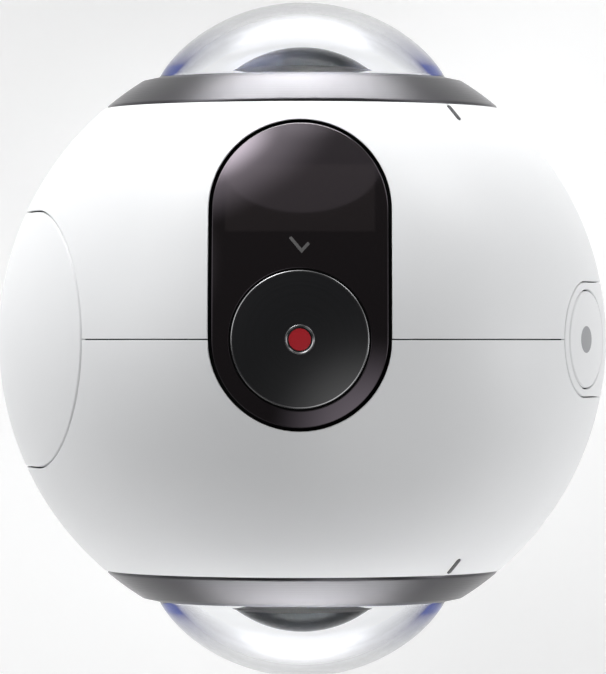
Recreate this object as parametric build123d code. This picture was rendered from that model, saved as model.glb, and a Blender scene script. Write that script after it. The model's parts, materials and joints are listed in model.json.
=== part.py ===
from build123d import *
from math import asin, atan2, cos, degrees, hypot, radians, sin, sqrt
import os

os.makedirs("parts", exist_ok=True)

# Frame: Z up, origin in the middle of the flat base, front lens towards -Y, rear lens towards +Y,
# keys on +X, battery door on -X, display and record button on top. Millimetres.

# Ball and its two half shells
ball_radius = 30.0
base_cut = 3.8
shell_wall = 2.0
seam_gap = 0.12
lip_height = 1.0
lip_wall = 0.9
lip_clearance = 0.12
overrun = 60.0
touch = 0.01

# Lens ring and its seat in the shell
ring_radius = 19.25
ring_gap = 0.25
ring_slope_width = 3.45
ring_flat_width = 1.4
ring_rise = 0.3
ring_lip_wall = 1.1
ring_fillet = 0.35
seat_wall = 1.8
seat_width = 1.8
stack_clearance = 0.1

# Clear dome over each lens
dome_rise = 7.55
dome_overhang = 3.6
dome_wall = 1.2
dome_clearance = 0.2
dome_flange_wall = 1.1

# Seal and stepped baffle under the dome
seal_wall = 0.6
baffle_wall = 1.5
baffle_rise = 1.6
baffle_step_rise = 0.4
baffle_gap = 0.2
baffle_steps = 3
barrel_clearance = 0.1

# Lens barrel
brim_radius = 8.25
brim_drop = 2.8
brim_rise = 0.55
barrel_shoulder_radius = 9.2
barrel_shoulder_wall = 1.4
barrel_radius = 6.6
barrel_foot_radius = 7.6
barrel_foot_wall = 1.5
barrel_bore_radius = 5.0
barrel_cavity_radius = 5.7

# Front glass of each lens
glass_radius = 6.9
glass_clearance = 0.05
glass_curve = 11.4
glass_gap = 3.15
glass_hollow_curve = 6.5
glass_middle_wall = 1.2
glass_seat_drop = 0.6

# Elements behind the front glass
element_curves = (11.0, 9.0, 14.0)
element_shares = ((0.037, 0.331), (0.353, 0.676), (0.706, 0.985))

# Image sensor and its board
sensor_gap = 0.9
sensor_board_wall = 1.0
sensor_board_side = 14.0
sensor_board_corner = 1.5
sensor_width = 8.0
sensor_height = 6.4
sensor_wall = 0.9

# Recording light slit beside each ring
slit_deg = 46.0
slit_length = 2.1
slit_width = 0.45
slit_wall = 0.6
slit_margin = 0.3
slit_clearance = 0.04

# Display window on top
window_half_width = 8.65
window_gap = 0.35
window_margin = 2.22
window_wall = 1.5
window_ledge = 1.05
window_ledge_wall = 1.5
window_seat_gap = 0.05
window_rim = 1.9
display_width = 13.6
display_height = 7.2
display_wall = 1.3
display_arc_length = 13.88
display_drop = 3.0

# Record button and the mark let into it
record_radius = 6.55
record_clearance = 0.15
record_wall = 1.4
record_rim = 1.1
record_flange_radius = 7.3
record_flange_wall = 0.8
record_flange_drop = 2.7
record_bevel = 0.2
record_stem_radius = 1.2
record_travel = 0.4
switch_gap = 0.05
mark_radius = 1.05
mark_wall = 0.45
mark_clearance = 0.05

# Board under the record button and the bracket that carries it
top_board_radius = 8.0
top_board_wall = 1.0
record_switch_side = 6.0
record_switch_wall = 0.8
bracket_wall = 1.0
bracket_leg = 1.5
bracket_width = 12.5
bracket_depth = 12.0

# Side key plate and its two round keys
key_plate_half_width = 5.65
key_plate_gap = 0.12
key_plate_wall = 1.2
key_plate_seat_gap = 0.05
key_spacing = 20.9
key_radius = 4.7
key_clearance = 0.15
key_flange_radius = 5.25
key_flange_wall = 0.7
key_flange_gap = 0.1
key_stem_radius = 0.9
key_bevel = 0.12
key_travel = 0.35

# Side board and its switches
side_board_wall = 1.0
side_board_width = 8.0
side_board_margin = 1.9
side_board_drop = 6.2
side_switch_side = 3.0
side_switch_wall = 1.0

# Battery door and its opening
door_half_width = 12.4
door_gap = 0.15
door_spacing = 18.1
door_wall = 1.8
edge_points = 9

# Goose-neck hinge inside the lower edge of the door
hinge_depth = 3.7
hinge_offset = 3.2
hinge_pin_radius = 0.6
hinge_clearance = 0.05
press_gap = 0.02
knuckle_radius = 1.15
arm_width = 6.8
arm_wall = 1.1
arm_clearance = 0.45
arm_sweep_deg = 126.0
ear_wall = 1.3
ear_half_width = 1.7
ear_gap = 0.3
ear_root = 2.6

# Battery and its contacts
battery_sink = 1.4
battery_length = 24.0
battery_top = 15.5
battery_height = 27.2
battery_thickness = 11.0
battery_fillet = 1.2
battery_clearance = 0.15
contact_width = 1.2
contact_pitch = 2.4
contact_height = 5.0
contact_tail = 0.5
contact_rise = 4.7
contact_count = 3

# Battery bay: box round the battery, floor and cup behind the door
bay_wall = 0.85
bay_floor_drop = 11.6
bay_floor_wall = 1.0
bay_margin = 1.2
bay_cup_wall = 0.9
bay_hinge_margin = 5.85
bay_top_margin = 1.65
cup_drop = 3.8
gutter_wall = 0.8
gutter_gap = 0.35
gutter_rib = 0.75
gutter_drop = 2.2
gutter_flange = 1.3
gutter_end = -8.0
door_seal_wall = 1.1
door_seal_gap = 0.35
door_seal_margin = 0.05

# Frame, its posts and the screws
frame_wall = 1.2
frame_margin = 7.2
frame_gap = 0.2
frame_window_radius = 7.0
side_wall_y = 4.0
post_inset = 1.65
post_radius = 1.8
post_degs = (125.0, 218.0, 322.0, 40.0)
bay_posts = 2
pillar_gap = 0.4
pillar_inset = 2.6
pillar_zs = (15.0, 1.0)
screw_radius = 0.8
screw_head_radius = 1.4
screw_head_wall = 0.9
screw_length = 5.0
screw_clearance = 0.1
drive_radius = 0.5
drive_depth = 0.4

# Main board and what it carries
board_wall = 0.8
board_right_gap = 2.1
board_ribbon_gap = 1.4
board_top = 17.0
board_margin = 5.5
post_clearance = 0.3
can_height = 1.3
can_wall = 0.2
can_corner = 0.6
can_xs = (5.0, -4.6)
can_zs = (0.0, 10.8)
can_widths = (15.0, 6.6)
can_heights = (13.0, 8.0)
usb_width = 7.5
usb_height = 2.45
usb_length = 5.5
usb_z = 7.6
usb_sink = 0.75
usb_wall = 0.3
usb_corner = 0.8
usb_floor = 0.6
tongue_wall = 0.6
tongue_width = 5.0
card_width = 11.0
card_length = 15.0
card_wall = 0.8
card_z = -2.3
card_proud = 0.4
card_push = 0.6
card_clearance = 0.08
card_corner = 1.2
card_grip = 0.6
card_socket_wall = 0.35
card_socket_rim = 0.45
port_clearance = 0.25

# Ribbons from the sensor boards to the main board
ribbon_wall = 0.2
ribbon_width = 6.0
ribbon_bend = 0.6
ribbon_overlap = 1.5
ribbon_reach = 1.8
ribbon_hang = 2.2
ribbon_slot = 0.5

# Base plate and tripod socket
base_radius = 12.6
base_wall = 1.4
base_gap = 0.1
floor_wall = 1.5
boss_radius = 6.2
boss_height = 7.6
socket_radius = 4.75
socket_height = 7.0
thread_radius = 2.55
thread_depth = 6.0
thread_point = 0.8
entry_radius = 3.1
entry_depth = 0.5

# Shared planes
ball_height = ball_radius - base_cut
centre = Vector(0, 0, ball_height)
lens_axis = Axis((0, 0, ball_height), (0, 1, 0))
lens_plane = Plane(origin=centre, x_dir=(1, 0, 0), z_dir=(0, 0, 1))
depth_plane = Plane(origin=centre, x_dir=(1, 0, 0), z_dir=(0, 1, 0))
door_plane = Plane(origin=centre, x_dir=(0, 0, 1), z_dir=(-1, 0, 0))
key_plane = Plane(origin=centre, x_dir=(0, 0, 1), z_dir=(1, 0, 0))
top_plane = Plane(origin=centre, x_dir=(0, 1, 0), z_dir=(0, 0, 1))
ribbon_plane = Plane(origin=centre, x_dir=(0, 1, 0), z_dir=(1, 0, 0))


def on_ball(distance, radius=ball_radius):
    """Height of a ball's surface over its middle plane, at a distance from the axis."""
    return sqrt(radius**2 - distance**2)


# Radii and places that follow from the sizes above
inner_radius = ball_radius - shell_wall
ring_shoulder_radius = ring_radius - ring_slope_width
ring_bore_radius = ring_shoulder_radius - ring_flat_width
seat_hole_radius = ring_shoulder_radius - seat_width
pocket_radius = ring_radius + ring_gap
ring_top = on_ball(ring_shoulder_radius) + ring_rise
dome_skirt_radius = ring_bore_radius - dome_clearance
dome_flange_radius = ring_shoulder_radius - dome_clearance
dome_radius = dome_skirt_radius + dome_overhang
half_depth = ring_top + dome_rise
dome_top = ring_top - ring_lip_wall - stack_clearance
dome_foot = dome_top - dome_flange_wall
baffle_top = dome_foot - seal_wall
seat_depth = baffle_top - baffle_wall
seat_foot = seat_depth - seat_wall
baffle_radius = dome_skirt_radius - dome_wall - baffle_gap
baffle_step_width = (baffle_radius - brim_radius - barrel_clearance) / baffle_steps
glass_apex = half_depth - dome_wall - glass_gap
brim_depth = glass_apex - brim_drop
glass_seat_depth = brim_depth - glass_seat_drop
window_spacing = on_ball(ring_radius + window_margin) - window_half_width
window_floor = ball_radius - window_wall - window_seat_gap
record_flange_top = ball_radius - record_flange_drop
record_foot = record_flange_top - record_flange_wall
record_switch_top = record_foot - record_travel - switch_gap
top_board_top = record_switch_top - record_switch_wall
key_height = key_spacing / 2
key_inner = inner_radius - key_flange_gap - key_flange_wall
side_board_x = inner_radius - side_board_drop
side_board_height = key_spacing + 2 * side_board_margin
side_switch_x = side_board_x + side_board_wall
key_foot = side_switch_x + side_switch_wall + key_travel + switch_gap
door_height = door_spacing / 2
door_opening = door_half_width + door_gap
door_inner = ball_radius - door_wall
bay_half_width = door_half_width - bay_margin
bay_high = door_height - bay_top_margin
bay_low = bay_hinge_margin - door_height
bay_floor_x = bay_floor_drop - ball_radius
battery_x = bay_floor_x + battery_sink
battery_half = battery_thickness / 2
battery_bottom = battery_top - battery_height
contact_z = battery_bottom + contact_rise
bay_half = battery_half + battery_clearance + bay_wall
bay_bottom = battery_bottom - battery_clearance - bay_wall
bay_top = battery_top + battery_clearance + bay_wall
bay_back = battery_x + battery_length + battery_clearance + bay_wall
bay_floor_back = bay_floor_x + bay_floor_wall
cup_radius = ball_radius - cup_drop
gutter_top = ball_radius - gutter_drop
board_face = bay_half + board_wall
board_left = bay_floor_back + base_gap
board_right = side_board_x - frame_wall - board_right_gap
board_radius = inner_radius - board_margin
sensor_board_depth = board_face + can_height + sensor_gap
frame_radius = inner_radius - frame_margin
post_circle_radius = ring_radius - post_inset
pillar_xs = (bay_back + pillar_gap + post_radius, side_board_x - frame_wall - pillar_inset - post_radius)
floor_top = base_wall + base_gap + floor_wall
boss_top = boss_height - ball_height
ribbon_start = ribbon_overlap - sensor_board_side / 2
ribbon_drop = (boss_top + bay_bottom) / 2
board_bottom = ribbon_drop + board_ribbon_gap
ribbon_end = board_bottom + ribbon_reach
ribbon_rear_drop = ribbon_end + ribbon_hang

# Lower edge of the door opening in the middle section, and the hinge axis inside it
edge_z = -(door_height + door_opening)
edge_x = -on_ball(edge_z)
edge_out = Vector(edge_x, 0, edge_z).normalized()
edge_down = Vector(-edge_out.Z, 0, edge_out.X)
hinge_at = Vector(edge_x, 0, edge_z) - edge_out * hinge_depth + edge_down * hinge_offset
hinge_origin = Vector(hinge_at.X, 0, hinge_at.Z + ball_height)
hinge_axis = Axis(hinge_origin, (0, 1, 0))
hinge_plane = Plane(origin=hinge_origin, x_dir=(1, 0, 0), z_dir=(0, -1, 0))
arm_inner = hypot(hinge_depth, hinge_offset) + arm_clearance
arm_outer = arm_inner + arm_wall


def ball(radius):
    return Pos(0, 0, ball_height) * Sphere(radius)


def layer(outer, inner):
    return ball(outer) - ball(inner)


def block(x_low, x_high, y_low, y_high, z_low, z_high):
    """Box between limits, with z counted from the middle of the ball."""
    size = Box(x_high - x_low, y_high - y_low, z_high - z_low)
    return Pos((x_low + x_high) / 2, (y_low + y_high) / 2, ball_height + (z_low + z_high) / 2) * size


def rod(x, z, radius, low, high):
    """Cylinder along Y between two depths."""
    return extrude(depth_plane.offset(low) * Pos(x, -z) * Circle(radius), amount=high - low)


def lens_cylinder(radius, low, high):
    return rod(0, 0, radius, low, high)


def lens_ball(radius, depth):
    return Pos(0, depth, ball_height) * Sphere(radius)


def lens_turned(points):
    """Solid turned about the lens axis from points of radius and depth."""
    return revolve(make_face(lens_plane * Polyline(*points, close=True)), axis=lens_axis)


def rim_edges(solid):
    """Edges round the part of a solid that lies on the outside of the ball, without the ball's own seam."""
    edges = []
    for edge in solid.edges():
        points = [edge @ share for share in (0, 0.25, 0.5, 1)]
        on_rim = all(abs((point - centre).length - ball_radius) < touch for point in points)
        if on_rim and max(abs(point.Y) for point in points) > touch:
            edges.append(edge)
    return edges


def both_sides(solid):
    return solid + mirror(solid, about=Plane.XZ)


def door_prism(half_width, low=-door_height, high=door_height):
    slot = SlotCenterToCenter(high - low, 2 * half_width)
    return extrude(door_plane * Pos((high + low) / 2, 0) * slot, amount=overrun)


def key_prism(half_width):
    return extrude(key_plane * SlotCenterToCenter(key_spacing, 2 * half_width), amount=overrun)


def key_cylinder(radius, height):
    return extrude(key_plane * Pos(height, 0) * Circle(radius), amount=overrun)


def top_prism(half_width):
    slot = SlotCenterToCenter(window_spacing, 2 * half_width)
    return extrude(top_plane * Pos(window_spacing / 2, 0) * slot, amount=overrun)


def hinge_cylinder(radius, low, high):
    return extrude(hinge_plane.offset(-high) * Circle(radius), amount=high - low)


def post_places():
    return [(post_circle_radius * cos(radians(a)), post_circle_radius * sin(radians(a))) for a in post_degs]


def opening_edge(y):
    """Point of the lower edge of the door opening at a distance from the middle section."""
    z = -door_height - sqrt(max(door_opening**2 - y**2, 0))
    return -sqrt(ball_radius**2 - y**2 - z**2), z


def lip_core(gap):
    """Turned body about the hinge axis that reaches out to the lower edge of the opening."""
    points = []
    for i in range(edge_points):
        y = -door_opening * cos(radians(180) * i / (edge_points - 1))
        x, z = opening_edge(y)
        points.append((y, hypot(x - hinge_at.X, z - hinge_at.Z) + gap))
    plane = Plane(origin=hinge_origin, x_dir=(0, 1, 0), z_dir=(1, 0, 0))
    outline = Spline(*points) + Polyline(points[-1], (points[-1][0], 0), (points[0][0], 0), points[0])
    return revolve(make_face(plane * outline), axis=hinge_axis)


def light_slit(half_width, low, high):
    """Round-ended bar on the slit's own meridian, square to the ball."""
    start = asin(pocket_radius / ball_radius)
    middle = start + (slit_margin + slit_length / 2) / ball_radius
    side = (sin(radians(slit_deg)), cos(radians(slit_deg)))
    out = Vector(sin(middle) * side[0], cos(middle), sin(middle) * side[1])
    along = Vector(cos(middle) * side[0], -sin(middle), cos(middle) * side[1])
    plane = Plane(origin=centre + out * low, x_dir=along, z_dir=out)
    return extrude(plane * SlotCenterToCenter(slit_length - slit_width, 2 * half_width), amount=high - low)


def whole_shell():
    """Both half shells in one, with every seat and opening."""
    trim = ball(ball_radius - lip_wall)
    body = layer(ball_radius, inner_radius)
    body += both_sides(lens_cylinder(ball_radius, seat_foot, seat_depth) & trim)
    pad = layer(window_floor, window_floor - window_ledge_wall) & top_prism(window_half_width + window_rim)
    body += pad
    body += trim & block(-overrun, overrun, -overrun, overrun, -ball_height, floor_top - ball_height)
    body -= door_prism(door_opening)
    body += layer(ball_radius, inner_radius) & lip_core(0)
    body = body & block(-overrun, overrun, -overrun, overrun, -ball_height, overrun)
    cuts = lens_cylinder(pocket_radius, seat_depth, overrun) + lens_cylinder(seat_hole_radius, 0, overrun)
    cuts += light_slit(slit_width / 2 + slit_clearance, ball_radius - slit_wall - slit_clearance, overrun)
    for x, z in post_places():
        cuts += rod(x, z, screw_radius + screw_clearance, 0, overrun)
        cuts += rod(x, z, screw_head_radius + screw_clearance, seat_depth - screw_head_wall - base_gap, overrun)
    body -= both_sides(cuts)
    body -= top_prism(window_half_width) & layer(overrun, window_floor)
    body -= top_prism(window_half_width - window_ledge)
    body -= key_prism(key_plate_half_width) & layer(overrun, ball_radius - key_plate_wall - key_plate_seat_gap)
    for height in (-key_height, key_height):
        body -= key_cylinder(key_radius + key_clearance, height)
    body -= Cylinder(base_radius + base_gap, 2 * (base_wall + base_gap))
    body -= Cylinder(boss_radius + base_gap, 2 * boss_height)
    return body


def hinge_ear(side):
    """Ear inside one half shell that holds an end of the hinge pin."""
    near = arm_width / 2 + ear_gap
    origin = hinge_origin + Vector(0, side * near, 0)
    plane = Plane(origin=origin, x_dir=edge_out, z_dir=(0, side, 0))
    outline = Pos(ear_root / 2, 0) * Rectangle(ear_root, 2 * ear_half_width) + Circle(ear_half_width)
    ear = extrude(plane * outline, amount=ear_wall) & ball(ball_radius - lip_wall)
    return ear - hinge_cylinder(hinge_pin_radius + press_gap, -overrun, overrun)


def front_shell(whole):
    body = whole & block(-overrun, overrun, -overrun, -seam_gap / 2, -ball_height, overrun)
    lip = layer(inner_radius + lip_wall, inner_radius)
    lip = lip & block(-overrun, overrun, -seam_gap, lip_height, floor_top - ball_height, overrun)
    lip -= door_prism(door_opening + lip_wall)
    lip -= top_prism(window_half_width + window_rim)
    lip -= key_prism(key_plate_half_width)
    return body + lip + hinge_ear(-1)


def rear_shell(whole):
    body = whole & block(-overrun, overrun, seam_gap / 2, overrun, -ball_height, overrun)
    groove = layer(inner_radius + lip_wall + lip_clearance, inner_radius - lip_clearance)
    depth = lip_height + lip_clearance
    groove = groove & block(-overrun, overrun, 0, depth, floor_top - ball_height - lip_clearance, overrun)
    groove -= door_prism(door_opening + lip_wall - lip_clearance)
    groove -= top_prism(window_half_width + window_rim - lip_clearance)
    groove -= key_prism(key_plate_half_width - lip_clearance)
    return body - groove + hinge_ear(1)


def lens_ring():
    bore = dome_flange_radius + stack_clearance
    middle = (ring_radius + ring_shoulder_radius) / 2
    arc = ThreePointArc((ring_radius, on_ball(ring_radius)), (middle, on_ball(middle)),
                        (ring_shoulder_radius, on_ball(ring_shoulder_radius)))
    lines = Polyline((ring_shoulder_radius, on_ball(ring_shoulder_radius)), (ring_bore_radius, ring_top),
                     (ring_bore_radius, ring_top - ring_lip_wall), (bore, ring_top - ring_lip_wall),
                     (bore, seat_depth), (ring_radius, seat_depth), (ring_radius, on_ball(ring_radius)))
    ring = revolve(make_face(lens_plane * (arc + lines)), axis=lens_axis)
    circles = ring.edges().filter_by(GeomType.CIRCLE)
    shoulder = circles.sort_by(lambda edge: abs(edge.radius - ring_shoulder_radius))[0]
    return fillet(shoulder, ring_fillet)


def dome():
    middle = half_depth - dome_radius
    body = lens_ball(dome_radius, middle) & lens_cylinder(dome_skirt_radius, dome_foot, overrun)
    body += lens_cylinder(dome_flange_radius, dome_foot, dome_top)
    hollow = lens_ball(dome_radius - dome_wall, middle)
    return body - (hollow & lens_cylinder(dome_skirt_radius - dome_wall, 0, overrun))


def dome_seal():
    hole = lens_cylinder(dome_skirt_radius - dome_wall + stack_clearance, baffle_top, dome_foot)
    return lens_cylinder(dome_flange_radius, baffle_top, dome_foot) - hole


def baffle():
    hole = brim_radius + barrel_clearance
    points = [(hole, seat_depth), (dome_flange_radius, seat_depth), (dome_flange_radius, baffle_top)]
    radius, depth = baffle_radius, baffle_top
    for i in range(baffle_steps):
        rise = baffle_rise if i == 0 else baffle_step_rise
        points += [(radius, depth), (radius, depth + rise)]
        depth += rise
        radius -= baffle_step_width
    points.append((hole, depth))
    return lens_turned(points)


def lens_barrel():
    bore = glass_radius + glass_clearance
    foot = sensor_board_depth + sensor_board_wall
    waist = foot + barrel_foot_wall
    under = seat_depth - barrel_shoulder_wall
    return lens_turned([
        (bore, brim_depth + brim_rise), (brim_radius, brim_depth), (brim_radius, seat_depth),
        (barrel_shoulder_radius, seat_depth), (barrel_shoulder_radius, under), (barrel_radius, under),
        (barrel_radius, waist), (barrel_foot_radius, waist), (barrel_foot_radius, foot),
        (barrel_cavity_radius, foot), (barrel_cavity_radius, waist), (barrel_bore_radius, waist),
        (barrel_bore_radius, glass_seat_depth), (bore, glass_seat_depth)])


def lens_glass():
    body = lens_ball(glass_curve, glass_apex - glass_curve)
    body = body & lens_cylinder(glass_radius, glass_seat_depth, overrun)
    return body - lens_ball(glass_hollow_curve, glass_apex - glass_middle_wall - glass_hollow_curve)


def inner_elements():
    """Group of both-side curved elements stacked in the barrel's bore."""
    solids = []
    waist = sensor_board_depth + sensor_board_wall + barrel_foot_wall
    room = glass_seat_depth - waist
    for (foot_share, high_share), curve in zip(element_shares, element_curves):
        foot = waist + foot_share * room
        high = waist + high_share * room
        element = lens_cylinder(barrel_bore_radius - glass_clearance, 0, overrun)
        solids.append(element & lens_ball(curve, high - curve) & lens_ball(curve, foot + curve))
    return solids


def sensor_board():
    low = sensor_board_depth
    half = sensor_board_side / 2
    board = block(-half, half, low, low + sensor_board_wall, -half, half)
    return chamfer(board.edges().filter_by(Axis.Y), sensor_board_corner)


def sensor():
    low = sensor_board_depth + sensor_board_wall
    return block(-sensor_width / 2, sensor_width / 2, low, low + sensor_wall, -sensor_height / 2, sensor_height / 2)


def status_light():
    return light_slit(slit_width / 2, ball_radius - slit_wall, overrun) & ball(ball_radius)


def top_window():
    panel = layer(ball_radius, ball_radius - window_wall) & top_prism(window_half_width - window_gap)
    panel -= Pos(0, 0, ball_height) * Cylinder(record_radius + record_clearance, 2 * overrun)
    return panel


def display_module():
    tilt = display_arc_length / ball_radius
    out = Vector(0, sin(tilt), cos(tilt))
    plane = Plane(origin=centre + out * (ball_radius - display_drop - display_wall), x_dir=(1, 0, 0), z_dir=out)
    return extrude(plane * Rectangle(display_width, display_height), amount=display_wall)


def upright(radius, low, high):
    """Cylinder along Z over the middle of the ball."""
    return Pos(0, 0, ball_height + (low + high) / 2) * Cylinder(radius, high - low)


def record_button_cap():
    cap = upright(record_radius, record_foot, ball_radius) & ball(ball_radius)
    cap += upright(record_flange_radius, record_foot, record_flange_top)
    cap -= upright(record_radius - record_rim, record_foot, on_ball(record_radius) - record_wall)
    cap += upright(record_stem_radius, record_foot, on_ball(record_radius))
    cap = chamfer(rim_edges(cap), record_bevel)
    return cap - upright(mark_radius + mark_clearance, ball_radius - mark_wall, overrun)


def record_mark():
    return upright(mark_radius, ball_radius - mark_wall, overrun) & ball(ball_radius)


def record_switch():
    half = record_switch_side / 2
    body = block(-half, half, -half, half, top_board_top, record_switch_top - switch_gap)
    return body + upright(record_stem_radius, top_board_top, record_switch_top)


def top_board():
    return upright(top_board_radius, top_board_top - top_board_wall, top_board_top)


def top_bracket():
    top = top_board_top - top_board_wall
    half = bracket_depth / 2
    body = block(-bracket_width / 2, bracket_width / 2, -half, half, top - bracket_wall, top)
    body += block(-bracket_width / 2, -bracket_width / 2 + bracket_leg, -half, half, bay_top, top)
    return body + block(bracket_width / 2 - bracket_leg, bracket_width / 2, -half, half, bay_top, top)


def side_key_plate():
    plate = layer(ball_radius, ball_radius - key_plate_wall) & key_prism(key_plate_half_width - key_plate_gap)
    for height in (-key_height, key_height):
        plate -= key_cylinder(key_radius + key_clearance, height)
    return plate


def key_cap(height):
    cap = layer(ball_radius, key_inner) & key_cylinder(key_radius, height)
    cap += layer(key_inner + key_flange_wall, key_inner) & key_cylinder(key_flange_radius, height)
    stem = extrude(key_plane.offset(key_foot) * Pos(height, 0) * Circle(key_stem_radius), amount=overrun)
    cap = chamfer(rim_edges(cap), key_bevel)
    return cap + (stem & ball(key_inner + key_flange_wall))


def side_board():
    half = side_board_width / 2
    tall = side_board_height / 2
    return block(side_board_x, side_switch_x, -half, half, -tall, tall)


def side_switches():
    half = side_switch_side / 2
    solids = []
    for height in (-key_height, key_height):
        solids.append(block(side_switch_x, side_switch_x + side_switch_wall, -half, half, height - half, height + half))
    return solids


def battery_door():
    return (layer(ball_radius, door_inner) & door_prism(door_half_width)) - lip_core(door_gap)


def door_arm():
    """Goose-neck from the inside of the door, round the lip, to the knuckle on the hinge pin."""
    edge_deg = degrees(atan2(edge_z - hinge_at.Z, edge_x - hinge_at.X))
    start = edge_deg - arm_sweep_deg
    outer = CenterArc((0, 0), arm_outer, start, arm_sweep_deg)
    inner = CenterArc((0, 0), arm_inner, start, arm_sweep_deg)
    hook = make_face(outer + inner + Line(outer @ 0, inner @ 0) + Line(outer @ 1, inner @ 1))
    spoke = Rot(0, 0, start) * Pos(arm_outer / 2, 0) * Rectangle(arm_outer, arm_wall)
    outline = hook + spoke + Circle(knuckle_radius)
    arm = extrude(hinge_plane.offset(-arm_width / 2) * outline, amount=arm_width)
    return (arm & ball(door_inner)) - hinge_cylinder(hinge_pin_radius + hinge_clearance, -overrun, overrun)


def door_pin():
    half = arm_width / 2 + ear_gap + ear_wall
    return hinge_cylinder(hinge_pin_radius, -half, half)


def door_seal():
    outer = bay_half_width - door_seal_margin
    ring = door_prism(outer, bay_low, bay_high) - door_prism(outer - door_seal_wall, bay_low, bay_high)
    return ring & layer(door_inner, cup_radius + door_seal_gap)


def battery():
    cell = block(battery_x, battery_x + battery_length, -battery_half, battery_half,
                 battery_bottom, battery_top)
    return fillet(cell.edges().filter_by(Axis.X), battery_fillet)


def contact_blades(clearance):
    solids = []
    for i in range(contact_count):
        y = (i - (contact_count - 1) / 2) * contact_pitch
        half = contact_width / 2 + clearance
        tall = contact_height / 2 + clearance
        solids.append(block(battery_x + battery_length, bay_back + contact_tail, y - half, y + half,
                            contact_z - tall, contact_z + tall))
    return solids


def port_cuts(clearance):
    """Openings in the bay floor for the connector and the card."""
    low = bay_half + base_gap / 2
    plug = block(-overrun, bay_back, low - clearance, low + usb_height + clearance,
                 usb_z - usb_width / 2 - clearance, usb_z + usb_width / 2 + clearance)
    slot = board_face + card_socket_wall
    half = card_width / 2 + clearance
    return plug + block(-overrun, bay_back, slot - clearance, slot + card_wall + clearance,
                        card_z - half, card_z + half)


def battery_bay():
    body = block(bay_floor_x, bay_back, -bay_half, bay_half, bay_bottom, bay_top)
    behind = block(bay_floor_x, 0, -overrun, overrun, -overrun, overrun)
    floor = block(bay_floor_x, bay_floor_back, -overrun, overrun, -overrun, overrun)
    body += floor & door_prism(bay_half_width, bay_low, bay_high)
    cup = door_prism(bay_half_width, bay_low, bay_high) - door_prism(bay_half_width - bay_cup_wall, bay_low, bay_high)
    body += (cup & ball(cup_radius)) & block(-overrun, bay_floor_back, -overrun, overrun, -overrun, overrun)
    rib_in = bay_half_width + gutter_gap
    rib_out = rib_in + gutter_rib
    rib = door_prism(rib_out, bay_low, bay_high) - door_prism(rib_in, bay_low, bay_high)
    low = door_prism(rib_out, bay_low, bay_high) - door_prism(bay_half_width - bay_cup_wall, bay_low, bay_high)
    high = door_prism(rib_out + gutter_flange, bay_low, bay_high) - door_prism(rib_in, bay_low, bay_high)
    gutter = rib & layer(gutter_top, cup_radius - gutter_wall)
    gutter += low & layer(cup_radius, cup_radius - gutter_wall)
    gutter += high & layer(gutter_top, gutter_top - gutter_wall)
    body += gutter - block(-overrun, overrun, -overrun, overrun, -overrun, gutter_end)
    middle = (bay_bottom + bay_top) / 2
    for x, z in post_places()[:bay_posts]:
        body += rod(x, z, post_radius, bay_half - bay_wall, seat_foot)
        body += block(x - post_radius, x + post_radius, bay_half - bay_wall, bay_half, min(z, middle), max(z, middle))
    body -= block(-overrun, battery_x + battery_length + battery_clearance,
                  -battery_half - battery_clearance, battery_half + battery_clearance,
                  battery_bottom - battery_clearance, battery_top + battery_clearance)
    body -= port_cuts(port_clearance) & block(-overrun, bay_floor_back, -overrun, overrun, -overrun, overrun)
    for blade in contact_blades(press_gap):
        body -= blade
    for x, z in post_places()[:bay_posts]:
        body -= rod(x, z, screw_radius + press_gap, seat_foot - screw_length, overrun)
    return body


def mid_frame():
    face = -bay_half
    plate = rod(0, 0, frame_radius, face - frame_wall, face)
    lowest = floor_top - ball_height + frame_gap
    plate = plate & block(bay_floor_back + frame_gap, overrun, -overrun, overrun, lowest, overrun)
    tall = side_board_height / 2
    plate += block(0, side_board_x, face - frame_wall, face, -tall, tall)
    plate -= rod(0, 0, frame_window_radius, -overrun, 0)
    plate += block(side_board_x - frame_wall, side_board_x, face - frame_wall, side_wall_y, -tall, tall)
    half = ribbon_width / 2 + ribbon_slot
    plate -= block(-half, half, -overrun, 0, ribbon_drop - ribbon_slot, ribbon_drop + ribbon_slot)
    for x, z in post_places():
        plate += rod(x, z, post_radius, -seat_foot, face)
    for x, z in post_places()[bay_posts:]:
        plate += rod(x, z, post_radius, face, seat_foot)
    for x, z in zip(pillar_xs, pillar_zs):
        plate += rod(x, z, post_radius, face, bay_half)
        plate -= rod(x, z, screw_radius + press_gap, bay_half - screw_length, bay_half)
    for x, z in post_places():
        plate -= rod(x, z, screw_radius + press_gap, -overrun, -seat_foot + screw_length)
    for x, z in post_places()[bay_posts:]:
        plate -= rod(x, z, screw_radius + press_gap, seat_foot - screw_length, overrun)
    return plate


def screw(x, z, under_head, tip):
    """Pan head screw along Y with a cross recess, its head above the given depth."""
    body = rod(x, z, screw_radius, tip, under_head + screw_head_wall / 2)
    body += rod(x, z, screw_head_radius, under_head, under_head + screw_head_wall)
    cross = Rectangle(2 * drive_radius, drive_radius / 2) + Rectangle(drive_radius / 2, 2 * drive_radius)
    top = depth_plane.offset(under_head + screw_head_wall - drive_depth)
    return body - extrude(top * Pos(x, -z) * cross, amount=overrun)


def frame_screws():
    head = seat_depth - screw_head_wall - base_gap
    tip = seat_foot - screw_length + screw_clearance
    solids = []
    for x, z in post_places():
        rear = screw(x, z, head, tip)
        solids += [rear, mirror(rear, about=Plane.XZ)]
    return solids


def board_screws():
    tip = bay_half - screw_length + screw_clearance
    return [screw(x, z, board_face, tip) for x, z in zip(pillar_xs, pillar_zs)]


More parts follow.
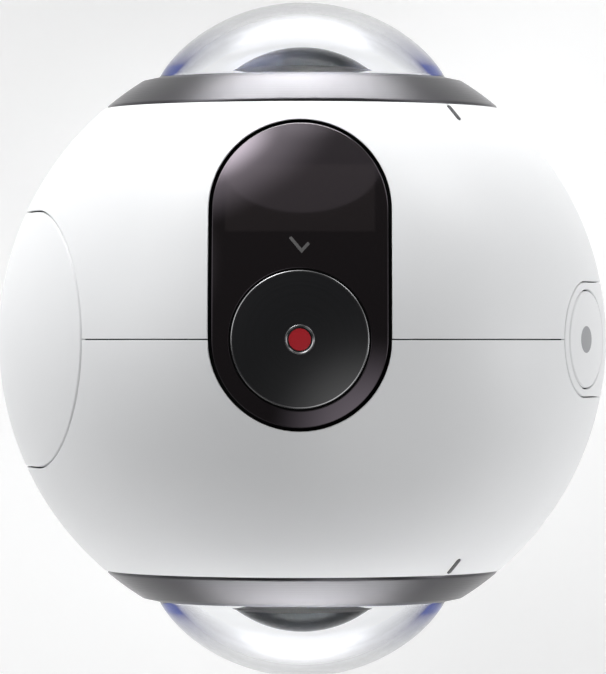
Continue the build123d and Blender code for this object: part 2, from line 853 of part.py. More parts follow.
def main_board():
    board = block(board_left, board_right, bay_half, board_face, board_bottom, board_top)
    board = board & rod(0, 0, board_radius, 0, overrun)
    for x, z in post_places():
        board -= rod(x, z, post_radius + post_clearance, 0, overrun)
    for x, z in zip(pillar_xs, pillar_zs):
        board -= rod(x, z, screw_radius + screw_clearance, 0, overrun)
    half = usb_width / 2 + port_clearance
    back = bay_floor_x + usb_length + port_clearance
    return board - block(-overrun, back, 0, overrun, usb_z - half, usb_z + half)


def shield_cans():
    solids = []
    for x, z, width, height in zip(can_xs, can_zs, can_widths, can_heights):
        half, tall = width / 2, height / 2
        can = block(x - half, x + half, board_face, board_face + can_height, z - tall, z + tall)
        can = fillet(can.edges().filter_by(Axis.Y), can_corner)
        inner, low = half - can_wall, tall - can_wall
        can -= block(x - inner, x + inner, board_face, board_face + can_height - can_wall, z - low, z + low)
        solids.append(can)
    return solids


def usb_socket():
    low = bay_half + base_gap / 2
    plane = Plane(origin=(bay_floor_x, low + usb_height / 2, ball_height + usb_z), x_dir=(0, 0, 1), z_dir=(1, 0, 0))
    outer = RectangleRounded(usb_width, usb_height, usb_corner)
    inner = RectangleRounded(usb_width - 2 * usb_wall, usb_height - 2 * usb_wall, usb_corner - usb_wall)
    body = extrude(plane * outer, amount=usb_length)
    body -= extrude(plane * inner, amount=usb_length - usb_floor)
    tongue = Rectangle(tongue_width, tongue_wall)
    return body + extrude(plane.offset(tongue_wall) * tongue, amount=usb_length - tongue_wall - usb_floor / 2)


def card_limits(clearance):
    low = board_face + card_socket_wall + card_clearance
    start = bay_floor_x - card_proud
    half = card_width / 2 + clearance
    return (start - clearance, start + card_length + clearance, low - clearance, low + card_wall + clearance,
            card_z - half, card_z + half)


def card_socket():
    half = card_width / 2 + card_clearance + card_socket_rim
    end = bay_floor_x - card_proud + card_length + card_push + card_clearance
    top = board_face + 2 * card_socket_wall + card_wall + 2 * card_clearance
    body = block(board_left, end + card_socket_rim, board_face, top, card_z - half, card_z + half)
    x_low, x_high, y_low, y_high, z_low, z_high = card_limits(card_clearance)
    return body - block(x_low, end, y_low, y_high, z_low, z_high)


def memory_card():
    card = block(*card_limits(0))
    corner = card.edges().filter_by(Axis.Y).sort_by(lambda edge: edge.center().X + edge.center().Z)[-1]
    card = chamfer(corner, card_corner)
    x_low, _, _, y_high, z_low, z_high = card_limits(0)
    return card - block(x_low + card_grip, x_low + 2 * card_grip, y_high - card_wall / 4, y_high, z_low, z_high)


def ribbon(points):
    path = FilletPolyline(*points, radius=ribbon_bend)
    band = ribbon_plane.offset(-ribbon_width / 2) * trace(path, line_width=ribbon_wall)
    return extrude(band, amount=ribbon_width)


def rear_flex():
    y = sensor_board_depth - ribbon_wall / 2
    end = board_face + ribbon_wall / 2
    return ribbon([(y, ribbon_start), (y, ribbon_rear_drop), (end, ribbon_rear_drop), (end, ribbon_end)])


def front_flex():
    y = -sensor_board_depth + ribbon_wall / 2
    end = board_face + ribbon_wall / 2
    return ribbon([(y, ribbon_start), (y, ribbon_drop), (end, ribbon_drop), (end, ribbon_end - ribbon_slot)])


def base_plate():
    body = Pos(0, 0, base_wall / 2) * Cylinder(base_radius, base_wall)
    body += Pos(0, 0, boss_height / 2) * Cylinder(boss_radius, boss_height)
    return body - Pos(0, 0, socket_height / 2) * Cylinder(socket_radius + press_gap, socket_height)


def tripod_socket():
    body = Pos(0, 0, socket_height / 2) * Cylinder(socket_radius, socket_height)
    body -= Pos(0, 0, thread_depth / 2) * Cylinder(thread_radius, thread_depth)
    body -= Pos(0, 0, thread_depth + thread_point / 2) * Cone(thread_radius, 0, thread_point)
    return body - Pos(0, 0, entry_depth / 2) * Cone(entry_radius, thread_radius, entry_depth)


def front(solid):
    """The same piece on the front lens's side."""
    if isinstance(solid, list):
        return [mirror(item, about=Plane.XZ) for item in solid]
    return mirror(solid, about=Plane.XZ)


shell_body = whole_shell()
parts = {
    "front_shell": front_shell(shell_body),
    "rear_shell": rear_shell(shell_body),
    "top_window": top_window(),
    "display_module": display_module(),
    "record_button_cap": record_button_cap(),
    "record_mark": record_mark(),
    "record_switch": record_switch(),
    "top_board": top_board(),
    "top_bracket": top_bracket(),
    "side_key_plate": side_key_plate(),
    "menu_button_cap": key_cap(key_height),
    "power_button_cap": key_cap(-key_height),
    "side_board": side_board(),
    "side_switches": side_switches(),
    "battery_door": battery_door(),
    "door_arm": door_arm(),
    "door_pin": door_pin(),
    "door_seal": door_seal(),
    "battery_bay": battery_bay(),
    "battery": battery(),
    "battery_contacts": contact_blades(0),
    "mid_frame": mid_frame(),
    "frame_screws": frame_screws(),
    "main_board": main_board(),
    "board_screws": board_screws(),
    "shield_cans": shield_cans(),
    "usb_socket": usb_socket(),
    "card_socket": card_socket(),
    "memory_card": memory_card(),
    "front_flex": front_flex(),
    "rear_flex": rear_flex(),
    "base_plate": base_plate(),
    "tripod_socket": tripod_socket(),
}
lens_parts = {
    "lens_ring": lens_ring(),
    "dome": dome(),
    "dome_seal": dome_seal(),
    "baffle": baffle(),
    "lens_barrel": lens_barrel(),
    "lens_glass": lens_glass(),
    "inner_elements": inner_elements(),
    "sensor_board": sensor_board(),
    "sensor": sensor(),
    "status_light": status_light(),
}
for name, solid in lens_parts.items():
    parts["rear_" + name] = solid
    parts["front_" + name] = front(solid)

for name, solid in parts.items():
    if isinstance(solid, list):
        solid = Compound(children=solid)
    export_step(solid, "parts/" + name + ".step")
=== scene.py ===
"""Looks of a 360 degree camera, built round the fixed frame of its CAD model.

Lengths of the object are in millimetres. Those of the studio and of the surfaces' grain are in metres.
"""
from __future__ import annotations

import json
import logging
import math
from abc import ABC, abstractmethod
from dataclasses import dataclass, field
from enum import Enum
from typing import Iterable, Sequence

import bmesh
import bpy
import numpy as np
from mathutils import Matrix, Vector
from mathutils.geometry import delaunay_2d_cdt

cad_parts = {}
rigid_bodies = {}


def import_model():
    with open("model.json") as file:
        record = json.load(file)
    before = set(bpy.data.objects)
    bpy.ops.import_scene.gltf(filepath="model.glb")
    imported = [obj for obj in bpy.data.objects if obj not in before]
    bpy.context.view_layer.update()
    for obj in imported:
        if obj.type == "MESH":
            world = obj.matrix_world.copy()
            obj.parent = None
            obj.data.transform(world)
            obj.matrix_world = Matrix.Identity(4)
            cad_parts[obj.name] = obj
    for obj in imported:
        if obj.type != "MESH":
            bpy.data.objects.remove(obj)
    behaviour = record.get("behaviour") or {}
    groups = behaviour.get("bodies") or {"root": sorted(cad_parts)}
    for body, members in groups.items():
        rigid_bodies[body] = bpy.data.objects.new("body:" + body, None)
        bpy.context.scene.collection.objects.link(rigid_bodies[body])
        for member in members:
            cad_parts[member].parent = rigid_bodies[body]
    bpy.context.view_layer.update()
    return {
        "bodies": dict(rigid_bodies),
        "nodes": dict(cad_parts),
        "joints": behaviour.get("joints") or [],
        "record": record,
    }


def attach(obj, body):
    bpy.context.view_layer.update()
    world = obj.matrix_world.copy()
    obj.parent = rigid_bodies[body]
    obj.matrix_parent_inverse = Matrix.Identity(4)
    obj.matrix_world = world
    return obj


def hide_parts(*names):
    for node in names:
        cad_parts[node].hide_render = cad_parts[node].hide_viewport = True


LOG = logging.getLogger("camera_looks")
MM = 0.001  # metres
BALL_RADIUS = 30.0
BALL_HEIGHT = 26.2  # of its middle, over the plane that the camera stands on
PRINT_RISE = 0.012  # of prints over the surface that they lie on
PRINT_DEPTH = 0.03  # of their undersides below it
TINY = 1e-12
ON_AXIS = 1e-6
SAME_SPOT = 1e-7
PHOTO_HEIGHT = 674  # pixels
Colour = tuple[float, float, float]
Point = tuple[float, float]
Place = tuple[float, float, float]
Socket = bpy.types.NodeSocket


class Side(Enum):
    """The side of the ball that an outline is drawn on, as the axes of its u, v and outward directions."""

    TOP = ((0, 1, 0), (1, 0, 0), (0, 0, 1))
    KEYS = ((0, 0, 1), (0, 1, 0), (1, 0, 0))


class Turn(Enum):
    """The axis that a turned piece spins about, as the direction of its height."""

    REAR = (0, 1, 0)
    FRONT = (0, -1, 0)
    UP = (0, 0, 1)


# Finishes


class Nodes:
    """Small helper that adds and links shader nodes."""

    MIX_LOW, MIX_HIGH, MIX_RESULT = 6, 7, 2  # a Mix node's sockets for colours

    def __init__(self, name: str) -> None:
        """Starts an empty material.

        Args:
            name: The material's name.
        """
        self.material = bpy.data.materials.new(name)
        self.material.use_nodes = True
        self.tree = self.material.node_tree
        self.tree.nodes.clear()
        self.output = self.tree.nodes.new("ShaderNodeOutputMaterial")
        self.shader = self.tree.nodes.new("ShaderNodeBsdfPrincipled")
        self.link(self.shader.outputs["BSDF"], self.output.inputs["Surface"])
        self.coords = self.tree.nodes.new("ShaderNodeTexCoord").outputs["Object"]

    def add(self, kind: str, **settings: object) -> bpy.types.Node:
        """Adds a node and sets its properties.

        Args:
            kind: The node's type.
            **settings: Its properties.

        Returns:
            The node.
        """
        node = self.tree.nodes.new(kind)
        for key, value in settings.items():
            setattr(node, key, value)
        return node

    def link(self, source: Socket, target: Socket) -> None:
        """Links an output socket to an input socket."""
        self.tree.links.new(source, target)

    def feed(self, target: Socket, value: object) -> None:
        """Gives a socket a constant or a link.

        Args:
            target: The input socket.
            value: A number, a tuple or another node's output.
        """
        if isinstance(value, Socket):
            self.link(value, target)
        else:
            target.default_value = value

    def math(self, operation: str, *values: object) -> Socket:
        """Adds a Math node.

        Args:
            operation: Its operation.
            *values: Its inputs.

        Returns:
            Its output.
        """
        node = self.add("ShaderNodeMath", operation=operation)
        for socket, value in zip(node.inputs, values):
            self.feed(socket, value)
        return node.outputs[0]

    def place(self, shift: Place, scale: Place) -> Socket:
        """Shifts, then scales the object's own coordinates.

        Args:
            shift: The point, in metres, that becomes the pattern's origin.
            scale: The scale along each axis.

        Returns:
            The placed coordinates.
        """
        move = self.add("ShaderNodeVectorMath", operation="SUBTRACT")
        self.link(self.coords, move.inputs[0])
        move.inputs[1].default_value = shift
        grow = self.add("ShaderNodeVectorMath", operation="MULTIPLY")
        self.link(move.outputs[0], grow.inputs[0])
        grow.inputs[1].default_value = scale
        return grow.outputs[0]

    def away(self, scale: Place = (1, 1, 1)) -> Socket:
        """Distance from the ball's middle.

        Args:
            scale: The scale along each axis, with 0 to leave an axis out.

        Returns:
            The distance in metres.
        """
        length = self.add("ShaderNodeVectorMath", operation="LENGTH")
        self.link(self.place((0, 0, BALL_HEIGHT * MM), scale), length.inputs[0])
        return length.outputs["Value"]

    def noise(self, vector: Socket, scale: float, detail: float) -> Socket:
        """Adds a noise texture.

        Args:
            vector: Its coordinates.
            scale: Its scale.
            detail: Its octaves.

        Returns:
            Its factor.
        """
        node = self.add("ShaderNodeTexNoise")
        self.link(vector, node.inputs["Vector"])
        node.inputs["Scale"].default_value = scale
        node.inputs["Detail"].default_value = detail
        return node.outputs["Fac"]

    def ramp(self, factor: Socket, span: Point, low: Colour, high: Colour) -> Socket:
        """Adds a colour ramp of two colours.

        Args:
            factor: Its input.
            span: Where the two colours stand.
            low: The first colour.
            high: The last colour.

        Returns:
            Its colour.
        """
        node = self.add("ShaderNodeValToRGB")
        self.link(factor, node.inputs[0])
        for element, position, colour in zip(node.color_ramp.elements, span, (low, high)):
            element.position = position
            element.color = (*colour, 1)
        return node.outputs[0]

    def span(self, value: Socket, source: Point, result: Point = (0, 1)) -> Socket:
        """Maps a range to another, clamped.

        Args:
            value: The input.
            source: Its low and high end.
            result: What these two become.

        Returns:
            The mapped value.
        """
        node = self.add("ShaderNodeMapRange")
        self.link(value, node.inputs["Value"])
        for key, number in zip(("From Min", "From Max", "To Min", "To Max"), (*source, *result)):
            node.inputs[key].default_value = number
        return node.outputs["Result"]

    def blend(self, factor: Socket, low: object, high: object) -> Socket:
        """Blends two colours.

        Args:
            factor: How far the second colour shows.
            low: The first colour, as red, green, blue and alpha or as another node's output.
            high: The second colour, the same way.

        Returns:
            The blended colour.
        """
        node = self.add("ShaderNodeMix", data_type="RGBA")
        self.link(factor, node.inputs["Factor"])
        self.feed(node.inputs[self.MIX_LOW], low)
        self.feed(node.inputs[self.MIX_HIGH], high)
        return node.outputs[self.MIX_RESULT]

    def bump(self, height: Socket, strength: float, distance: float) -> None:
        """Feeds a bump to the shader's normal.

        Args:
            height: The height pattern.
            strength: The bump's strength.
            distance: Its depth in metres.
        """
        node = self.add("ShaderNodeBump")
        node.inputs["Strength"].default_value = strength
        node.inputs["Distance"].default_value = distance
        self.link(height, node.inputs["Height"])
        self.link(node.outputs["Normal"], self.shader.inputs["Normal"])

    def set(self, **values: object) -> None:
        """Sets the shader's sockets, with underscores for spaces in their names."""
        for key, value in values.items():
            self.feed(self.shader.inputs[key.replace("_", " ")], value)


@dataclass(frozen=True)
class Finish(ABC):
    """A surface finish."""

    name: str

    def build(self) -> bpy.types.Material:
        """Builds the finish's material.

        Returns:
            The material.
        """
        nodes = Nodes(self.name)
        self.dress(nodes)
        return nodes.material

    @abstractmethod
    def dress(self, nodes: Nodes) -> None:
        """Sets up the shader's nodes.

        Args:
            nodes: The material under construction.
        """


NOISE_SPAN = (0.3, 0.7)  # the range that a noise texture mostly fills


def shaded(colour: Colour, share: float) -> Colour:
    """Colour made lighter or darker by a share of itself, up to white."""
    return tuple(min(1.0, part * (1 + share)) for part in colour)


@dataclass(frozen=True)
class Moulded(Finish):
    """Moulded plastic with a fine spark-eroded skin and slight changes of tone."""

    colour: Colour = (0.8, 0.8, 0.8)
    tone: float = 0.03
    roughness: float = 0.4
    rough_spread: float = 0.06
    grain: float = 9000.0
    grain_depth: float = 0.000004
    grain_strength: float = 0.25
    coat: float = 0.0
    coat_roughness: float = 0.1
    ior: float = 1.5
    gloss: float = 0.5
    tone_scale: float = 120.0
    octaves: float = 2.0
    glow: float = 0.0

    def dress(self, nodes: Nodes) -> None:
        """Sets colour, roughness and skin.

        Args:
            nodes: The material under construction.
        """
        slow = nodes.noise(nodes.coords, self.tone_scale, self.octaves)
        tone = nodes.ramp(slow, NOISE_SPAN, shaded(self.colour, -self.tone), shaded(self.colour, self.tone))
        fine = nodes.noise(nodes.coords, self.grain, self.octaves)
        least, most = self.roughness - self.rough_spread, self.roughness + self.rough_spread
        nodes.set(Base_Color=self.cover(nodes, tone), Roughness=nodes.span(fine, NOISE_SPAN, (least, most)))
        nodes.set(IOR=self.ior, Specular_IOR_Level=self.gloss)
        nodes.set(Coat_Weight=self.coat, Coat_Roughness=self.coat_roughness)
        if self.glow:
            nodes.set(Emission_Color=(1, 1, 1, 1), Emission_Strength=self.glow)
        nodes.bump(fine, self.grain_strength, self.grain_depth)

    def cover(self, nodes: Nodes, tone: Socket) -> Socket:
        """Colour of the whole piece, for finishes that lay something over it.

        Args:
            nodes: The material under construction.
            tone: The plastic's colour.

        Returns:
            The same colour.
        """
        return tone


@dataclass(frozen=True)
class SeamShaded(Moulded):
    """Moulded plastic with painted shade below the ball's outer surface, so that the depth of every seam is
    dark.
    """

    # near black painted shade for every face below the ball's outer surface: seam walls, gaps and insides
    core: Colour = (0.016, 0.016, 0.017)
    shade_depth: float = 0.3
    shade_fade: float = 0.1

    def cover(self, nodes: Nodes, tone: Socket) -> Socket:
        """Keeps the colour on the outside of the ball alone and paints shade below it.

        Args:
            nodes: The material under construction.
            tone: The outside's colour.

        Returns:
            Colour outside, painted shade below it.
        """
        depth = BALL_RADIUS - self.shade_depth
        outside = nodes.span(nodes.away(), ((depth - self.shade_fade) * MM, depth * MM))
        return nodes.blend(outside, (*self.core, 1), tone)


@dataclass(frozen=True)
class TurnedMetal(Finish):
    """Metal with the fine rings that a lathe leaves about the lens axis or about an upright axis."""

    colour: Colour = (0.3, 0.3, 0.31)
    roughness: float = 0.3
    rings: float = 9000.0
    upright: bool = False
    depth: float = 0.000003
    strength: float = 0.3
    metallic: float = 1.0
    coat: float = 0.0
    stretch: float = 0.0
    quarter_turn: float = 0.25
    octaves: float = 3.0
    tone: float = 0.1
    smoother: float = 0.04
    rougher: float = 0.05

    def dress(self, nodes: Nodes) -> None:
        """Sets metal with turned rings.

        Args:
            nodes: The material under construction.
        """
        ring = nodes.add("ShaderNodeTexNoise", noise_dimensions="1D")
        nodes.link(nodes.away((1, 1, 0) if self.upright else (1, 0, 1)), ring.inputs["W"])
        ring.inputs["Scale"].default_value = self.rings
        ring.inputs["Detail"].default_value = self.octaves
        factor = ring.outputs["Fac"]
        tone = nodes.ramp(factor, NOISE_SPAN, shaded(self.colour, -self.tone), shaded(self.colour, self.tone))
        least, most = self.roughness - self.smoother, self.roughness + self.rougher
        rough = nodes.span(factor, NOISE_SPAN, (least, most))
        nodes.set(Base_Color=tone, Roughness=rough, Metallic=self.metallic, Coat_Weight=self.coat)
        if self.stretch:
            axis = "Z" if self.upright else "Y"
            groove = nodes.add("ShaderNodeTangent", direction_type="RADIAL", axis=axis).outputs[0]
            nodes.set(Anisotropic=self.stretch, Anisotropic_Rotation=self.quarter_turn, Tangent=groove)
        nodes.bump(factor, self.strength, self.depth)


@dataclass(frozen=True)
class PolishedPanel(Finish):
    """Polished black panel with the faint edge of the display behind it and a fine wipe haze."""

    colour: Colour = (0.006, 0.005, 0.005)
    display: Colour = (0.0125, 0.0105, 0.0105)
    reflex: Colour = (1.0, 0.86, 1.0)
    roughness: float = 0.045
    half_width: float = 6.9
    low: float = 10.3
    high: float = 16.4
    edge: float = 0.25
    haze_scale: float = 260.0
    haze_octaves: float = 4.0
    haze_span: Point = (0.35, 0.75)
    haze_share: float = 1.9
    ior: float = 1.52

    def dress(self, nodes: Nodes) -> None:
        """Sets the panel and the faint rectangle of the display.

        Args:
            nodes: The material under construction.
        """
        parts = nodes.add("ShaderNodeSeparateXYZ")
        nodes.link(nodes.coords, parts.inputs[0])
        wide, along, edge = nodes.math("ABSOLUTE", parts.outputs["X"]), parts.outputs["Y"], self.edge
        inside = nodes.span(wide, (self.half_width * MM, (self.half_width + edge) * MM), (1, 0))
        above = nodes.span(along, ((self.low - edge) * MM, self.low * MM))
        below = nodes.span(along, (self.high * MM, (self.high + edge) * MM), (1, 0))
        mask = nodes.math("MULTIPLY", nodes.math("MULTIPLY", inside, above), below)
        haze = nodes.noise(nodes.coords, self.haze_scale, self.haze_octaves)
        rough = nodes.span(haze, self.haze_span, (self.roughness, self.roughness * self.haze_share))
        nodes.set(Base_Color=nodes.ramp(mask, (0, 1), self.colour, self.display), Roughness=rough)
        nodes.set(IOR=self.ior, Specular_Tint=(*self.reflex, 1))


@dataclass(frozen=True)
class ClearMoulding(Finish):
    """Clear moulded dome, with painted grey shade along its limb and a painted violet-blue reflection of its
    coat towards its skirt.
    """

    colour: Colour = (0.985, 0.99, 1.0)
    # painted grey shade of the limb, and painted blue reflection towards the skirt
    limb_shade: Colour = (0.58, 0.585, 0.59)
    foot_reflection: Colour = (0.003, 0.007, 0.11)
    apex: float = 31.5
    foot: float = 26.4
    middle: float = 15.55
    mid_wall: float = 16.95
    wall_fade: float = 0.1
    facing: float = 0.5
    grey_span: Point = (0.55, 0.7)
    blue_span: Point = (0.4, 0.62)
    foot_span: Point = (0.1, 0.92)
    smear_scale: float = 400.0
    smear_octaves: float = 3.0
    smear_span: Point = (0.4, 0.8)
    roughness: Point = (0.0, 0.01)
    ior: float = 1.25
    reflex: Colour = (0.14, 0.17, 0.42)
    body_colour: Colour = (0.45, 0.55, 0.65)
    density: float = 12.0

    def dress(self, nodes: Nodes) -> None:
        """Sets clear glass, tinted at grazing angles with painted colour: a painted blue reflection near the
        skirt and painted grey shade elsewhere.

        Args:
            nodes: The material under construction.
        """
        parts = nodes.add("ShaderNodeSeparateXYZ")
        nodes.link(nodes.coords, parts.inputs[0])
        depth = nodes.math("ABSOLUTE", parts.outputs["Y"])
        near = nodes.span(depth, (self.foot * MM, self.apex * MM), (1, 0))
        weight = nodes.add("ShaderNodeLayerWeight")
        weight.inputs["Blend"].default_value = self.facing
        side, outer = weight.outputs["Facing"], self._outer_face(nodes)
        # painted grey shade and painted blue reflection, both by viewing angle on the outer face
        grey = nodes.math("MULTIPLY", nodes.span(side, self.grey_span), outer)
        blue = nodes.math("MULTIPLY", nodes.span(side, self.blue_span), outer)
        blue = nodes.math("MULTIPLY", blue, nodes.span(near, self.foot_span))
        edge = nodes.ramp(grey, (0, 1), self.colour, self.limb_shade)
        smear = nodes.noise(nodes.coords, self.smear_scale, self.smear_octaves)
        nodes.set(Base_Color=nodes.blend(blue, edge, (*self.foot_reflection, 1)),
                  Roughness=nodes.span(smear, self.smear_span, self.roughness))
        nodes.set(Transmission_Weight=1.0, IOR=self.ior, Specular_Tint=(*self.reflex, 1))
        inside = nodes.add("ShaderNodeVolumeAbsorption")
        inside.inputs["Color"].default_value = (*self.body_colour, 1)
        inside.inputs["Density"].default_value = self.density
        nodes.link(inside.outputs[0], nodes.output.inputs["Volume"])

    def _outer_face(self, nodes: Nodes) -> Socket:
        """Mask of the dome's outer face, by the distance from the middle of its sphere.

        Args:
            nodes: The material under construction.

        Returns:
            One on the outer face and nothing on the inner one.
        """
        whole = nodes.add("ShaderNodeVectorMath", operation="ABSOLUTE")
        nodes.link(nodes.place((0, 0, BALL_HEIGHT * MM), (1, 1, 1)), whole.inputs[0])
        away = nodes.add("ShaderNodeVectorMath", operation="DISTANCE")
        nodes.link(whole.outputs["Vector"], away.inputs[0])
        away.inputs[1].default_value = (0, self.middle * MM, 0)
        low, high = self.mid_wall - self.wall_fade, self.mid_wall + self.wall_fade
        return nodes.span(away.outputs["Value"], (low * MM, high * MM))


@dataclass(frozen=True)
class CoatedGlass(Finish):
    """Lens glass with a coloured anti-reflection coat."""

    colour: Colour = (0.6, 0.7, 0.8)
    rim_tint: Colour = (0.35, 0.5, 0.95)
    ior: float = 1.6
    transmission: float = 1.0
    reflex: Colour = (0.5, 0.85, 1.0)
    facing: float = 0.45
    facing_power: float = 1.5
    tint_span: Point = (0.1, 0.8)
    dust_scale: float = 3000.0
    dust_octaves: float = 2.0
    dust_span: Point = (0.5, 0.9)
    roughness: Point = (0.0, 0.03)

    def dress(self, nodes: Nodes) -> None:
        """Sets tinted glass with a coloured coat.

        Args:
            nodes: The material under construction.
        """
        weight = nodes.add("ShaderNodeLayerWeight")
        weight.inputs["Blend"].default_value = self.facing
        mask = nodes.math("POWER", weight.outputs["Facing"], self.facing_power)
        dust = nodes.noise(nodes.coords, self.dust_scale, self.dust_octaves)
        nodes.set(Base_Color=nodes.ramp(mask, self.tint_span, self.colour, self.rim_tint),
                  Roughness=nodes.span(dust, self.dust_span, self.roughness))
        nodes.set(Transmission_Weight=self.transmission, IOR=self.ior, Specular_Tint=(*self.reflex, 1))


# white outside, with painted shade below the ball's surface in seams and gaps
WHITE_SKIN = SeamShaded("white_skin", (0.80, 0.808, 0.82), 0.006, 0.38, 0.03, 14000, 0.000002, 0.1, 0.05, 0.22,
                     gloss=0.4)
DARK_SATIN = TurnedMetal("satin_cap", (0.0062, 0.0064, 0.0078), 0.34, 5200, True, 0.000003, 0.25, 0.25, 0.4)
SATIN_RING = TurnedMetal("satin_ring", (0.08, 0.0785, 0.0845), 0.34, stretch=0.8)
POLISHED_EDGE = TurnedMetal("polished_edge", (0.22, 0.22, 0.225), 0.16, 6000, True)
STEEL = TurnedMetal("bright_steel", (0.55, 0.55, 0.57), 0.28, 12000, True)
BLACK_FLOCK = Moulded("black_baffle", (0.012, 0.011, 0.011), 0.2, 0.7, 0.08, 20000, 0.00001, 0.5,
                      gloss=0.06)
BLACK_BARREL = Moulded("black_barrel", (0.016, 0.014, 0.013), 0.1, 0.45, 0.06, 16000, 0.000004, 0.3,
                       gloss=0.12)
GREY_PLASTIC = Moulded("grey_plastic", (0.07, 0.07, 0.074), 0.06, 0.5, 0.08, 12000, 0.00001, 0.4)
RUBBER = Moulded("soft_rubber", (0.022, 0.022, 0.023), 0.1, 0.72, 0.06, 7000, 0.00001, 0.5)
RED_PAINT = Moulded("red_mark_paint", (0.41, 0.0095, 0.018), 0.05, 0.35, 0.05, 15000, 0.000003, 0.2)
GREY_PRINT = Moulded("grey_print", (0.085, 0.083, 0.083), 0.05, 0.5, 0.05, 20000, 0.000002, 0.2)
KEY_PRINT = Moulded("key_print", (0.34, 0.345, 0.36), 0.04, 0.5, 0.05, 20000, 0.000002, 0.2)
BOARD = Moulded("green_board", (0.012, 0.09, 0.045), 0.15, 0.35, 0.05, 5000, 0.000008, 0.3)
BRASS = TurnedMetal("gold_contact", (0.75, 0.56, 0.22), 0.25, 9000, True)
RIBBON = Moulded("amber_ribbon", (0.33, 0.12, 0.02), 0.1, 0.35, 0.05, 4000, 0.000004, 0.2)
LIGHT_GUIDE = Moulded("slit_guide", (0.045, 0.046, 0.05), 0.05, 0.3, 0.05, 9000, 0.000003, 0.2)
WRAP = Moulded("cell_wrap", (0.035, 0.035, 0.038), 0.08, 0.4, 0.06, 5000, 0.000006, 0.3)
PANEL = PolishedPanel("polished_panel")
DOME = ClearMoulding("dome_clear")
LENS = CoatedGlass("coated_lens", (0.011, 0.016, 0.019), (0.001, 0.0012, 0.003), 1.12, 0.9,
                   (0.6, 0.85, 1.0))
INNER_LENS = CoatedGlass("inner_lens", (0.12, 0.17, 0.2), (0.03, 0.05, 0.1), 1.5, 0.5)

SLOT_FINISHES: dict[str, Finish] = {
    "white": WHITE_SKIN, "ring_metal": SATIN_RING, "clear_dome": DOME, "black_gloss": PANEL,
    "black_matte": BLACK_FLOCK, "lens_glass": LENS, "rubber": RUBBER, "red": RED_PAINT,
    "dark_satin": DARK_SATIN, "board": BOARD, "steel": STEEL, "contact": BRASS,
    "grey_plastic": GREY_PLASTIC, "ribbon": RIBBON, "light_guide": LIGHT_GUIDE, "battery_wrap": WRAP,
}


class FinishBook:
    """Builds each finish once and hands its material out."""

    def __init__(self) -> None:
        """Starts with no materials."""
        self._made: dict[str, bpy.types.Material] = {}

    def material(self, finish: Finish) -> bpy.types.Material:
        """Material of a finish.

        Args:
            finish: The finish.

        Returns:
            Its material.
        """
        if finish.name not in self._made:
            self._made[finish.name] = finish.build()
        return self._made[finish.name]


# Mesh makers


def mesh_from(name: str, points: np.ndarray, faces: Iterable[Sequence[int]]) -> bpy.types.Mesh:
    """Makes a mesh from points in millimetres.

    Args:
        name: The mesh's name.
        points: Its points, in the frame's axes.
        faces: Its faces, anticlockwise from outside.

    Returns:
        The mesh.
    """
    mesh = bpy.data.meshes.new(name)
    mesh.from_pydata((np.asarray(points) * MM).tolist(), [], [list(map(int, face)) for face in faces])
    mesh.update()
    return mesh


def face_outwards(mesh: bpy.types.Mesh) -> None:
    """Drops a closed mesh's unused points and turns its faces outwards.

    Args:
        mesh: The mesh.
    """
    working = bmesh.new()
    working.from_mesh(mesh)
    loose = [point for point in working.verts if not point.link_faces]
    bmesh.ops.delete(working, geom=loose, context="VERTS")
    bmesh.ops.recalc_face_normals(working, faces=working.faces)
    working.to_mesh(mesh)
    working.free()


def smooth(mesh: bpy.types.Mesh, degrees: float = 32.0) -> None:
    """Smooths a mesh and keeps its sharp edges.

    Args:
        mesh: The mesh.
        degrees: The angle past which an edge stays sharp.
    """
    mesh.shade_smooth()
    mesh.set_sharp_from_angle(angle=math.radians(degrees))


def unit(vectors: np.ndarray) -> np.ndarray:
    """Scales vectors to length one.

    Args:
        vectors: One vector or an array of them.

    Returns:
        The unit vectors.
    """
    length = np.linalg.norm(vectors, axis=-1, keepdims=True)
    return vectors / np.maximum(length, TINY)


def ball_depth(radius: float) -> float:
    """Distance of a circle of this radius on the ball from the ball's middle."""
    return math.sqrt(BALL_RADIUS**2 - radius**2)


